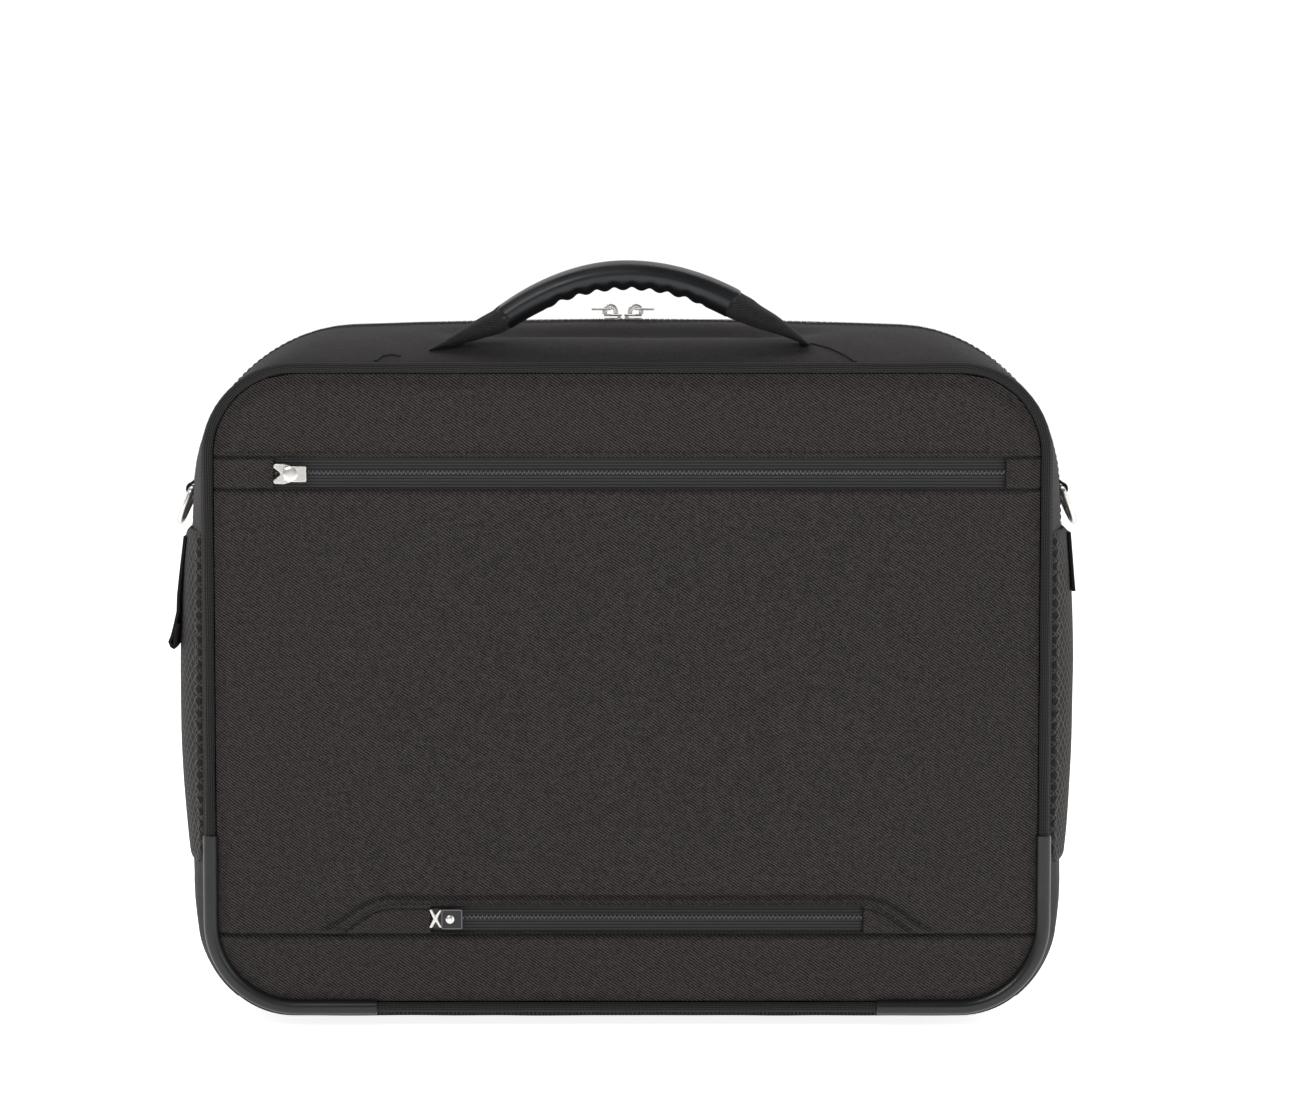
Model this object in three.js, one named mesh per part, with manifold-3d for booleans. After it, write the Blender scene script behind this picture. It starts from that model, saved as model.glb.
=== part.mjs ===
// Soft-sided rolling pilot case, in millimetres.
// +X to the case's right as seen from the front, the front panel faces -Y, +Z up.
// The origin is on the floor, under the middle of the case.

import * as THREE from 'three';
import { mergeVertices } from 'three/addons/utils/BufferGeometryUtils.js';
import Module from 'manifold-3d';

const wasm = await Module();
wasm.setup();

// ---------------------------------------------------------------- driving dimensions

const GAP = 0.3; // clearance between pieces that touch
const FAR = 500; // reach of a cutting block beyond the case
const WALL = 4; // foam-backed fabric wall

// The case swells from both end faces to the crown, where the main zip runs.
// bow is how far its sides bow out at mid-height, arch how far its top rises at the middle.
const FRONT_Y = -88; // front edge of the gusset
const BACK_Y = 88; // back edge of the gusset
const ZIP_Y = -10; // plane of the main zip
const FRONT_SECTION = { half: 206, bottom: 4.2, top: 323, topRadius: 43.5, bottomRadius: 44, bow: 0, arch: 0 };
const CROWN_SECTION = { half: 210, bottom: 4, top: 337.5, topRadius: 73, bottomRadius: 34, bow: 8, arch: 5.5 };
const BACK_SECTION = { half: 205, bottom: 8, top: 320, topRadius: 50, bottomRadius: 48, bow: 0, arch: 0 };
const BASE_SPLIT = 14; // the gussets stand on the bottom panel at this height

const ZIP_TAPE_HALF = 6; // half width of the main zip's tape
const ZIP_TAPE_THICK = 2;
const ZIP_COIL_HALF = 2.6; // half width of the main zip's coil
const ZIP_COIL_RISE = 1.5;
const MEETING_X = -2; // where the main zip's two sliders meet

// Piping round the front panel; its lowest stretch is also the fold that the front swings on.
const FRAME_Y = -92.4;
const FRAME = { half: 202.8, bottom: 9.8, top: 321.5, topRadius: 42, bottomRadius: 42 };
const PIPING_RADIUS = 2.6;
const GUARD_RADIUS = 3.7;
const GUARD_TOP = 94.4; // height of a corner guard's upper end
const GUARD_INNER_X = 122; // distance of its lower end from the middle
const PANEL_INSET = 4.2; // from the piping's centre line to the panel's edge
const PANEL_FRONT_Y = -94.6;
const PANEL_BACK_Y = -88.5;

// Pocket zips on the front panel. x0 and x1 are the groove's ends, z its middle.
const UPPER_ZIP = { x0: -171, x1: 183, z: 270, sliderX: -166 };
const LOWER_ZIP = { x0: -96, x1: 115, z: 54.4, sliderX: -91.5 };
const GROOVE_HALF = 4.6;
const GROOVE_DEPTH = 2.6;
const UPPER_WELT = { half: 198.4, bottom: 263.8, top: 279.4 };
const LOWER_FLAP = { half: 146, topHalf: 118, bottom: 46, top: 62.4 };
const TRIM_THICK = 1;

// Side panels: padded swellings on the gusset.
const SIDE_BULGE = 5.5;
const SIDE_STAND = 1.2; // how far a panel's edges stand off the gusset
const SIDE_BOTTOM = 78;
const FRONT_SIDE = { y0: -86.5, y1: -17, top: 242 };
const REAR_SIDE = { y0: -3, y1: 84, top: 234 };

// Carry handle
const HANDLE_Y = -70;
const HANDLE_AXIS_Z = 335.5;
const GRIP_HALF_SPAN = 58;
const GRIP_MID_Z = 365.8;
const GRIP_DROP = 17.4; // how much lower the grip's ends are than its middle
const GRIP_RADIUS = 7.6;
const SLEEVE_REACH = 94;
const ANCHOR = { length: 18, halfDepth: 6, foot: 315, low: 331.5, top: 337.2, slope: 12 };

// D-rings and their webbing loops
const RING_Y = 18;
const RING_X = 219.8;
const RING_Z = 258;
const RING_WIRE = 1.5;
const RING_HALF = 12;
const RING_LEG = 6;
const RING_LEAN = 14; // degrees outward
const LOOP_HALF = 8; // half width of the webbing

// Telescopic handle
const TUBE_X = 70;
const TUBE_Y = 76;
const TUBE_SIZES = { outer: [22, 14], mid: [18.8, 10.8], top: [15.6, 7.6] };
const TUBE_WALL = 1.3;
const BEZEL = { half: 92, y0: 64, y1: 87.7, bottom: 296, top: 324.5, wall: 3 };
const TROLLEY_GRIP = { half: 87, bottom: 304.3, top: 322.5 };
const BUTTON = { half: 14, depthHalf: 4, travel: 2 };

// Wheels and feet
const WHEEL_X = 158;
const WHEEL_Y = 71;
const WHEEL_RADIUS = 27;
const TYRE_HALF_WIDTH = 10;
const HUB_RADIUS = 15.5;
const AXLE_RADIUS = 3;
const HOUSING = { halfWidth: 15.5, y0: 36, y1: 93.3, bottom: 5.3, top: 62, wellRadius: 30 };
const FOOT_X = 148;
const FOOT_Y = -42;
const FOOT_TOP = 3.7;

// ---------------------------------------------------------------- materials

const PALETTE = {
  twill: [0x3a3838, 0.85, 0],
  emboss: [0x343232, 0.8, 0],
  lining: [0x4a4a4c, 0.9, 0],
  piping: [0x2c2a2a, 0.8, 0],
  rubber: [0x2a2b2c, 0.45, 0],
  grip: [0x20242a, 0.5, 0],
  tape: [0x1c1b1b, 0.9, 0],
  coil: [0x5c5d60, 0.4, 0.4],
  nickel: [0xc9c8c4, 0.25, 1],
  webbing: [0x1d1c1c, 0.85, 0],
  plastic: [0x232325, 0.5, 0],
  aluminium: [0xb4b6b8, 0.35, 1],
  steel: [0x9a9a9c, 0.3, 1],
  board: [0x2e2e30, 0.8, 0],
};

const flightCase = new THREE.Group();
flightCase.name = 'pilot_case';

function part(name, geometry, colourName) {
  const [color, roughness, metalness] = PALETTE[colourName];
  const material = new THREE.MeshStandardMaterial({ color, roughness, metalness });
  const mesh = new THREE.Mesh(geometry, material);
  mesh.name = name;
  flightCase.add(mesh);
  return mesh;
}

// ---------------------------------------------------------------- solids

function toSolid(geometry) {
  const bare = geometry.clone();
  bare.deleteAttribute('normal');
  bare.deleteAttribute('uv');
  const merged = mergeVertices(bare, 1e-4);
  return new wasm.Manifold(new wasm.Mesh({
    numProp: 3,
    vertProperties: new Float32Array(merged.attributes.position.array),
    triVerts: new Uint32Array(merged.index.array),
  }));
}

function toGeometry(solid) {
  const mesh = solid.getMesh();
  const geometry = new THREE.BufferGeometry();
  geometry.setAttribute('position', new THREE.BufferAttribute(new Float32Array(mesh.vertProperties), 3));
  geometry.setIndex(new THREE.BufferAttribute(new Uint32Array(mesh.triVerts), 1));
  return geometry;
}

function cut(geometry, ...tools) {
  return toGeometry(tools.reduce((solid, tool) => solid.subtract(toSolid(tool)), toSolid(geometry)));
}

function join(geometry, ...others) {
  return toGeometry(others.reduce((solid, other) => solid.add(toSolid(other)), toSolid(geometry)));
}

function common(geometry, other) {
  return toGeometry(toSolid(geometry).intersect(toSolid(other)));
}

function block(x0, x1, y0, y1, z0, z1) {
  const geometry = new THREE.BoxGeometry(x1 - x0, y1 - y0, z1 - z0);
  return geometry.translate((x0 + x1) / 2, (y0 + y1) / 2, (z0 + z1) / 2);
}

/** A block centred on x and y. */
function post(x, y, halfX, halfY, z0, z1) {
  return block(x - halfX, x + halfX, y - halfY, y + halfY, z0, z1);
}

/** A closed surface through rings of equal length, with end caps unless the rings come back round. */
function loft(rings, comesRound = false) {
  const count = rings[0].length;
  const index = [];
  const spans = comesRound ? rings.length : rings.length - 1;
  for (let r = 0; r < spans; r += 1) {
    const here = r * count;
    const next = ((r + 1) % rings.length) * count;
    for (let i = 0; i < count; i += 1) {
      const j = (i + 1) % count;
      index.push(here + i, here + j, next + j, here + i, next + j, next + i);
    }
  }
  if (!comesRound) {
    const end = (rings.length - 1) * count;
    for (let i = 1; i < count - 1; i += 1) {
      index.push(0, i + 1, i, end, end + i, end + i + 1);
    }
  }
  const geometry = new THREE.BufferGeometry();
  const positions = rings.flat().flatMap((point) => [point.x, point.y, point.z]);
  geometry.setAttribute('position', new THREE.Float32BufferAttribute(positions, 3));
  geometry.setIndex(signedVolume(positions, index) < 0 ? index.reverse() : index);
  return geometry;
}

function signedVolume(positions, index) {
  const corner = (k) => new THREE.Vector3(...positions.slice(3 * index[k], 3 * index[k] + 3));
  let volume = 0;
  for (let k = 0; k < index.length; k += 3) {
    volume += corner(k).dot(corner(k + 1).cross(corner(k + 2)));
  }
  return volume / 6;
}

/** The same piece on the other side of the case. */
function mirrored(geometry) {
  const twin = geometry.clone().scale(-1, 1, 1);
  twin.setIndex(Array.from(twin.index.array).reverse());
  return twin;
}

/** A shape drawn in (x, z), given thickness from y0 to y1. */
function plate(shape, y0, y1, curveSegments = 6) {
  const geometry = new THREE.ExtrudeGeometry(shape, { depth: y1 - y0, bevelEnabled: false, curveSegments });
  return geometry.rotateX(Math.PI / 2).translate(0, y1, 0);
}

// ---------------------------------------------------------------- outlines

/** An upright rounded rectangle as a path in (x, z), anticlockwise from the lower right. */
function roundedOutline(section, inset = 0) {
  const half = section.half - inset;
  const bottom = section.bottom + inset;
  const top = section.top - inset;
  const topRadius = section.topRadius - inset;
  const bottomRadius = section.bottomRadius - inset;
  const outline = new THREE.Shape();
  outline.absarc(half - bottomRadius, bottom + bottomRadius, bottomRadius, -Math.PI / 2, 0);
  outline.absarc(half - topRadius, top - topRadius, topRadius, 0, Math.PI / 2);
  outline.absarc(-half + topRadius, top - topRadius, topRadius, Math.PI / 2, Math.PI);
  outline.absarc(-half + bottomRadius, bottom + bottomRadius, bottomRadius, Math.PI, 1.5 * Math.PI);
  return outline;
}

function outlinePoints(section, inset, cornerSteps) {
  const points = [];
  for (const [signX, atTop, start] of [[1, false, -90], [1, true, 0], [-1, true, 90], [-1, false, 180]]) {
    const radius = (atTop ? section.topRadius : section.bottomRadius) - inset;
    const centreX = signX * (section.half - inset - radius);
    const centreZ = atTop ? section.top - inset - radius : section.bottom + inset + radius;
    for (let step = 0; step <= cornerSteps; step += 1) {
      const angle = THREE.MathUtils.degToRad(start + (90 * step) / cornerSteps);
      points.push(new THREE.Vector2(centreX + radius * Math.cos(angle), centreZ + radius * Math.sin(angle)));
    }
  }
  return points;
}

/** How far a section's outline is moved outward at a point, for its bowed sides and arched top. */
function padding(section, x, z) {
  const across = x / section.half;
  const up = (z - section.bottom) / (section.top - section.bottom);
  const upperHalf = Math.max(0, 2 * up - 1);
  return new THREE.Vector2(
    section.bow * Math.sin(Math.PI * THREE.MathUtils.clamp(up, 0, 1)) * across ** 3,
    section.arch * Math.cos((Math.PI / 2) * Math.min(1, Math.abs(across))) * upperHalf ** 2,
  );
}

/** A section's padded outline, with points along its straight stretches as well as its corners. */
function paddedPoints(section, inset) {
  const cornerSteps = 6;
  const straightSteps = 6;
  const corners = outlinePoints(section, inset, cornerSteps);
  return corners.flatMap((point, i) => {
    const next = corners[(i + 1) % corners.length];
    const count = i % (cornerSteps + 1) === cornerSteps ? straightSteps : 1;
    return Array.from({ length: count }, (_, k) => {
      const between = point.clone().lerp(next, k / count);
      return between.add(padding(section, between.x, between.y));
    });
  });
}

/** The case's cross-section at a given y. */
function sectionAt(y) {
  const end = y < ZIP_Y ? FRONT_SECTION : BACK_SECTION;
  const reach = y < ZIP_Y ? FRONT_Y - ZIP_Y : BACK_Y - ZIP_Y;
  const swell = 1 - Math.min(1, (y - ZIP_Y) / reach) ** 2;
  const section = {};
  for (const key of Object.keys(end)) {
    section[key] = THREE.MathUtils.lerp(end[key], CROWN_SECTION[key], swell);
  }
  return section;
}

const STATIONS_EACH_WAY = 5;

/** The whole case as one swelling volume, inset all round, its ends moved out by overrun. */
function caseVolume(inset, overrun = 0) {
  const stations = [];
  for (let step = 0; step <= STATIONS_EACH_WAY; step += 1) {
    stations.push(THREE.MathUtils.lerp(FRONT_Y, ZIP_Y, step / STATIONS_EACH_WAY));
  }
  for (let step = 1; step <= STATIONS_EACH_WAY; step += 1) {
    stations.push(THREE.MathUtils.lerp(ZIP_Y, BACK_Y, step / STATIONS_EACH_WAY));
  }
  return loft(stations.map((station) => {
    const y = station + (station === FRONT_Y ? -overrun : 0) + (station === BACK_Y ? overrun : 0);
    return paddedPoints(sectionAt(station), inset).map((p) => new THREE.Vector3(p.x, y, p.y));
  }));
}

/** A round tube along points that lie in one plane. insideRadius above 0 hollows it out. */
function tube(points, planeNormal, radius, { comesRound = false, sides = 10, insideRadius = 0 } = {}) {
  const rings = (ringRadius) => points.map((point, i) => {
    const before = points[comesRound ? (i + points.length - 1) % points.length : Math.max(i - 1, 0)];
    const after = points[comesRound ? (i + 1) % points.length : Math.min(i + 1, points.length - 1)];
    const tangent = after.clone().sub(before).normalize();
    const across = tangent.clone().cross(planeNormal);
    return Array.from({ length: sides }, (_, k) => {
      const angle = (2 * Math.PI * k) / sides;
      return point.clone()
        .addScaledVector(across, ringRadius * Math.cos(angle))
        .addScaledVector(planeNormal, ringRadius * Math.sin(angle));
    });
  });
  if (insideRadius > 0) {
    return loft([...rings(radius), ...rings(insideRadius).reverse()], true);
  }
  return loft(rings(radius), comesRound);
}

const ALONG_Y = new THREE.Vector3(0, 1, 0);

// ---------------------------------------------------------------- fabric shell

const shellWall = cut(caseVolume(0), caseVolume(WALL, 1));
const clearOfCase = caseVolume(-GAP, 10);

const housingCutter = (sign) => block(
  sign * WHEEL_X - HOUSING.halfWidth - GAP,
  sign * WHEEL_X + HOUSING.halfWidth + GAP,
  HOUSING.y0 - GAP,
  FAR,
  -FAR,
  HOUSING.top + GAP,
);
const housingCutters = [housingCutter(-1), housingCutter(1)];

function buildShell() {
  const zipFront = ZIP_Y - ZIP_TAPE_HALF - GAP;
  const zipBack = ZIP_Y + ZIP_TAPE_HALF + GAP;
  part('front_gusset', common(shellWall, block(-FAR, FAR, -FAR, zipFront, BASE_SPLIT + GAP, FAR)), 'twill');

  const bezelHole = block(-BEZEL.half - GAP, BEZEL.half + GAP, BEZEL.y0 - GAP, FAR, 250, FAR);
  const rear = common(shellWall, block(-FAR, FAR, zipBack, FAR, BASE_SPLIT + GAP, FAR));
  part('rear_gusset', cut(rear, bezelHole, ...housingCutters), 'twill');

  const bottomFront = FRONT_Y + 2;
  const bottom = common(shellWall, block(-FAR, FAR, bottomFront, FAR, -FAR, BASE_SPLIT));
  part('bottom_panel', cut(bottom, ...housingCutters), 'twill');

  const backOutline = roundedOutline(BACK_SECTION, 5.4);
  part('back_panel', cut(plate(backOutline, BACK_Y + GAP, BACK_Y + 5.3), ...housingCutters), 'twill');
  part('base_board', block(-134, 134, FRONT_Y + 8, 84, 12.2, 14.8), 'board');
}

function buildMainZip() {
  const band = (halfWidth) => block(
    -FAR,
    FAR,
    ZIP_Y - halfWidth,
    ZIP_Y + halfWidth,
    BASE_SPLIT + GAP,
    FAR,
  );
  const tape = cut(caseVolume(0), caseVolume(ZIP_TAPE_THICK, 1));
  part('main_zip_tape', common(tape, band(ZIP_TAPE_HALF)), 'tape');
  const coil = cut(caseVolume(-GAP - ZIP_COIL_RISE), caseVolume(-GAP, 1));
  part('main_zip_coil', common(coil, band(ZIP_COIL_HALF)), 'coil');
}

// ---------------------------------------------------------------- front panel

/** The groove that a pocket zip lies in. */
function zipGroove(zip, depth = GROOVE_DEPTH) {
  return block(
    zip.x0,
    zip.x1,
    PANEL_FRONT_Y - 10,
    PANEL_FRONT_Y + depth,
    zip.z - GROOVE_HALF,
    zip.z + GROOVE_HALF,
  );
}

/** Tape on the floor of the groove, with the coil standing along its middle. */
function pocketZip(name, zip) {
  const floor = PANEL_FRONT_Y + GROOVE_DEPTH - GAP;
  const tapeHalf = GROOVE_HALF - GAP;
  const tape = block(zip.x0 + GAP, zip.x1 - GAP, floor - 0.8, floor, zip.z - tapeHalf, zip.z + tapeHalf);
  const coil = block(zip.x0 + 2, zip.x1 - 2, floor - 1.6, floor - 0.4, zip.z - 1.6, zip.z + 1.6);
  part(name, join(tape, coil), 'tape');
}

function buildFrontPanel() {
  const panel = plate(roundedOutline(FRAME, PANEL_INSET), PANEL_FRONT_Y, PANEL_BACK_Y);
  part('front_panel', cut(panel, zipGroove(UPPER_ZIP), zipGroove(LOWER_ZIP)), 'twill');
  pocketZip('upper_zip', UPPER_ZIP);
  pocketZip('lower_zip', LOWER_ZIP);

  const trimBack = PANEL_FRONT_Y - GAP;
  const trimFront = trimBack - TRIM_THICK;
  const welt = block(-UPPER_WELT.half, UPPER_WELT.half, trimFront, trimBack, UPPER_WELT.bottom, UPPER_WELT.top);
  part('upper_pocket_welt', cut(welt, zipGroove(UPPER_ZIP)), 'twill');

  const flap = new THREE.Shape();
  const { half, topHalf, bottom, top } = LOWER_FLAP;
  flap.moveTo(-half, bottom);
  flap.lineTo(half, bottom);
  flap.bezierCurveTo(half - 12, bottom + 4, topHalf + 6, top, topHalf - 4, top);
  flap.lineTo(-topHalf + 4, top);
  flap.bezierCurveTo(-topHalf - 6, top, -half + 12, bottom + 4, -half, bottom);
  part('lower_pocket_flap', cut(plate(flap, trimFront, trimBack), zipGroove(LOWER_ZIP)), 'twill');
}

/** A point of an outline, moved into the piping's plane. */
function framePoint(point) {
  return new THREE.Vector3(point.x, FRAME_Y, point.y);
}

function buildPiping() {
  const ring = outlinePoints(FRAME, 0, 8).map(framePoint);
  part('front_piping', tube(ring, ALONG_Y, PIPING_RADIUS, { comesRound: true }), 'piping');

  // The lower right corner: from the bottom's straight stretch, round the bend and up the side.
  const bend = outlinePoints(FRAME, 0, 8).slice(0, 9);
  const lowEnd = new THREE.Vector2(GUARD_INNER_X, FRAME.bottom);
  const highEnd = new THREE.Vector2(FRAME.half, GUARD_TOP);
  const guardLine = [lowEnd, ...bend, highEnd].map(framePoint);
  const guard = tube(guardLine, ALONG_Y, GUARD_RADIUS, { insideRadius: PIPING_RADIUS + GAP });
  part('corner_guard_right', guard, 'rubber');
  part('corner_guard_left', mirrored(guard), 'rubber');

  // The back panel's piping stops above the wheel housings.
  const backY = BACK_Y + GAP + PIPING_RADIUS;
  const backLine = outlinePoints(BACK_SECTION, 1.2, 8).slice(9, 27);
  const backEnd = HOUSING.top + 4;
  const line = [
    new THREE.Vector2(BACK_SECTION.half - 1.2, backEnd),
    ...backLine,
    new THREE.Vector2(-BACK_SECTION.half + 1.2, backEnd),
  ].map((point) => new THREE.Vector3(point.x, backY, point.y));
  part('rear_piping', tube(line, ALONG_Y, PIPING_RADIUS), 'piping');
}

// ---------------------------------------------------------------- side panels and tab

/** A padded swelling on the right side of the gusset. */
function sidePanel({ y0, y1, top }) {
  const levels = 9;
  const steps = 9;
  const rings = [];
  for (let level = 0; level <= levels; level += 1) {
    const up = level / levels;
    const fullness = Math.sin(Math.PI * THREE.MathUtils.lerp(0.03, 0.97, up)) ** 0.25;
    const z = THREE.MathUtils.lerp(SIDE_BOTTOM, top, up);
    const ring = [new THREE.Vector3(190, y0, z)];
    for (let step = 0; step <= steps; step += 1) {
      const along = step / steps;
      const y = THREE.MathUtils.lerp(y0, y1, along);
      const swell = Math.sin(Math.PI * along) ** 0.6;
      const section = sectionAt(y);
      const wall = section.half + padding(section, section.half, z).x;
      ring.push(new THREE.Vector3(wall + SIDE_STAND + SIDE_BULGE * fullness * swell, y, z));
    }
    ring.push(new THREE.Vector3(190, y1, z));
    rings.push(ring);
  }
  return cut(loft(rings), clearOfCase);
}

function buildSides() {
  const frontSide = sidePanel(FRONT_SIDE);
  part('front_side_panel_right', frontSide, 'emboss');
  part('front_side_panel_left', mirrored(frontSide), 'emboss');
  const rearSide = sidePanel(REAR_SIDE);
  part('rear_side_panel_right', rearSide, 'emboss');
  part('rear_side_panel_left', mirrored(rearSide), 'emboss');
  // A folded webbing tab lies against the left side panel.
  part('side_tab_left', block(-226.4, -223.2, -60, -36, 181, 237), 'webbing');
}

// ---------------------------------------------------------------- carry handle

/** An oval ring square to the handle's line at distance u from its middle. */
function handleRing(u, height, slope, halfThick, halfWide, under = 0) {
  const lean = Math.atan(slope);
  const sides = 12;
  return Array.from({ length: sides }, (_, k) => {
    const angle = (2 * Math.PI * k) / sides;
    const rise = Math.sin(angle) * (halfThick - (Math.sin(angle) < -0.3 ? under : 0));
    return new THREE.Vector3(
      u - rise * Math.sin(lean),
      HANDLE_Y + halfWide * Math.cos(angle),
      height + rise * Math.cos(lean),
    );
  });
}

function buildHandle() {
  const finger = 11.5; // pitch of the finger hollows
  const hollow = 1.3;
  const rings = [];
  const steps = 28;
  for (let step = 0; step <= steps; step += 1) {
    const u = THREE.MathUtils.lerp(-GRIP_HALF_SPAN, GRIP_HALF_SPAN, step / steps);
    const out = u / GRIP_HALF_SPAN;
    const scallop = Math.abs(u) < 4 * finger ? hollow * Math.sin((Math.PI * u) / finger) ** 2 : 0;
    const halfThick = THREE.MathUtils.lerp(GRIP_RADIUS, 5.8, out * out);
    const slope = (-2 * GRIP_DROP * out) / GRIP_HALF_SPAN;
    rings.push(handleRing(u, GRIP_MID_Z - GRIP_DROP * out * out, slope, halfThick, 8.6, scallop));
  }
  part('handle_grip', loft(rings), 'grip');

  const sleeveRings = [];
  const start = GRIP_HALF_SPAN + GAP + 0.2;
  for (const along of [0, 0.25, 0.5, 0.75, 1]) {
    const u = THREE.MathUtils.lerp(start, SLEEVE_REACH, along);
    const endZ = GRIP_MID_Z - GRIP_DROP;
    const height = HANDLE_AXIS_Z + (endZ - HANDLE_AXIS_Z) * (1 - along) ** 1.5;
    const slope = THREE.MathUtils.lerp(-0.62, 0, along);
    const halfThick = THREE.MathUtils.lerp(5.6, 2.2, along);
    const halfWide = THREE.MathUtils.lerp(8.2, 2.5, along);
    sleeveRings.push(handleRing(u, height, slope, halfThick, halfWide));
  }
  const sleeve = loft(sleeveRings);
  part('handle_sleeve_right', sleeve, 'twill');
  part('handle_sleeve_left', mirrored(sleeve), 'twill');

  // The sleeves' sewn-down ends, in the top gusset's seam.
  const anchor = new THREE.Shape();
  const inner = SLEEVE_REACH + 2 * GAP;
  const outer = inner + ANCHOR.length;
  anchor.moveTo(inner, ANCHOR.foot);
  anchor.lineTo(outer, ANCHOR.foot);
  anchor.lineTo(outer, ANCHOR.low);
  anchor.lineTo(outer - ANCHOR.slope, ANCHOR.top);
  anchor.lineTo(inner, ANCHOR.top);
  const solid = plate(anchor, HANDLE_Y - ANCHOR.halfDepth, HANDLE_Y + ANCHOR.halfDepth);
  const anchorSolid = cut(solid, clearOfCase);
  part('handle_anchor_right', anchorSolid, 'twill');
  part('handle_anchor_left', mirrored(anchorSolid), 'twill');
}

// ---------------------------------------------------------------- zip sliders and pullers

const BAIL_PIN_HEIGHT = 3.5; // of the puller's pin over the slider's underside

/** A slider lying flat: the zip runs along x, z points away from the case. */
function slider(halfLength, halfWidth) {
  const plateBlock = block(-halfLength, halfLength, -halfWidth, halfWidth, 0, 2.2);
  const nose = block(halfLength - 1.5, halfLength - 0.3, -0.7, 0.7, 2, 4.9);
  const tail = block(-halfLength + 0.3, -halfLength + 1.5, -0.7, 0.7, 2, 4.9);
  const bridge = block(-halfLength + 0.3, halfLength - 0.3, -0.7, 0.7, 4.7, 5.6);
  return join(plateBlock, nose, tail, bridge);
}

/** Its puller, lying along +x from a pin at the origin that passes under the slider's bridge. */
function puller(reach, plateStart, halfWidth) {
  const pin = block(-0.6, 0.6, -halfWidth + 0.6, halfWidth - 0.6, -0.6, 0.6);
  const near = block(-0.6, plateStart + 0.5, 1.4, halfWidth - 0.6, -0.6, 0.6);
  const far = block(-0.6, plateStart + 0.5, -halfWidth + 0.6, -1.4, -0.6, 0.6);
  const tag = block(plateStart, reach, -halfWidth, halfWidth, -0.7, 0.7);
  return join(pin, near, far, tag);
}

function buildSliders() {
  // Pocket zips: the flat side faces -Y.
  const pocketBase = PANEL_FRONT_Y + 0.6;
  for (const [name, zip] of [['upper', UPPER_ZIP], ['lower', LOWER_ZIP]]) {
    const body = part(`${name}_zip_slider`, slider(4.2, 3.6), 'nickel');
    body.rotation.x = Math.PI / 2;
    body.position.set(zip.sliderX, pocketBase, zip.z);
    const tag = part(`${name}_zip_puller`, puller(11.5, 4.4, 4.3), 'nickel');
    tag.rotation.x = Math.PI / 2;
    tag.position.set(zip.sliderX, pocketBase - BAIL_PIN_HEIGHT, zip.z);
  }
  // Main zip: two sliders meet over the middle of the crown.
  const crownBase = CROWN_SECTION.top + CROWN_SECTION.arch + ZIP_COIL_RISE + 3 * GAP;
  for (const [side, sign] of [['left', -1], ['right', 1]]) {
    const x = MEETING_X + 6.2 * sign;
    const body = part(`main_zip_slider_${side}`, slider(5, 4), 'nickel');
    body.position.set(x, ZIP_Y, crownBase);
    const tag = part(`main_zip_puller_${side}`, puller(14, 5.4, 3.6), 'nickel');
    tag.position.set(x, ZIP_Y, crownBase + BAIL_PIN_HEIGHT);
    tag.rotation.z = sign < 0 ? Math.PI : 0;
  }
}

// ---------------------------------------------------------------- D-rings

function buildRings() {
  // The D in its own plane, hanging from its straight bar, which lies along Y.
  const outline = [
    new THREE.Vector3(0, RING_HALF - 1.5, 0),
    new THREE.Vector3(0, -RING_HALF + 1.5, 0),
    new THREE.Vector3(0, -RING_HALF, -1.5),
  ];
  const bowSteps = 12;
  for (let step = 0; step <= bowSteps; step += 1) {
    const angle = Math.PI * (1 + step / bowSteps);
    outline.push(new THREE.Vector3(0, RING_HALF * Math.cos(angle), -RING_LEG + RING_HALF * Math.sin(angle)));
  }
  outline.push(new THREE.Vector3(0, RING_HALF, -1.5));
  const ring = tube(outline, new THREE.Vector3(1, 0, 0), RING_WIRE, { comesRound: true, sides: 8 });
  for (const [side, sign] of [['left', -1], ['right', 1]]) {
    const mesh = part(`d_ring_${side}`, ring.clone(), 'nickel');
    mesh.rotation.y = THREE.MathUtils.degToRad(-RING_LEAN * sign);
    mesh.position.set(sign * RING_X, RING_Y, RING_Z);
  }

  // Webbing folded round the bar and sewn to the gusset.
  const holeHalf = RING_WIRE + 0.5;
  const loop = cut(
    block(205, RING_X + 4.2, RING_Y - LOOP_HALF, RING_Y + LOOP_HALF, RING_Z - 4, RING_Z + 12),
    post(RING_X, RING_Y, holeHalf, LOOP_HALF + 1, RING_Z - holeHalf, RING_Z + holeHalf),
    clearOfCase,
  );
  part('d_ring_loop_right', loop, 'webbing');
  part('d_ring_loop_left', mirrored(loop), 'webbing');
}

// ---------------------------------------------------------------- inside

function buildInside() {
  const divider = roundedOutline({ half: 186, bottom: 15.4, top: 262, topRadius: 24, bottomRadius: 56 });
  part('laptop_divider', plate(divider, 20, 26), 'lining');
  const lining = roundedOutline({ half: 182, bottom: 19, top: 290, topRadius: 30, bottomRadius: 56 });
  part('rear_lining', cut(plate(lining, 61.2, 63.2), ...housingCutters), 'lining');
}

// ---------------------------------------------------------------- telescopic handle

function squareTube(x, [wide, deep], z0, z1) {
  const outside = post(x, TUBE_Y, wide / 2, deep / 2, z0, z1);
  const inside = post(x, TUBE_Y, wide / 2 - TUBE_WALL, deep / 2 - TUBE_WALL, z0 - 1, z1 + 1);
  return cut(outside, inside);
}

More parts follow.
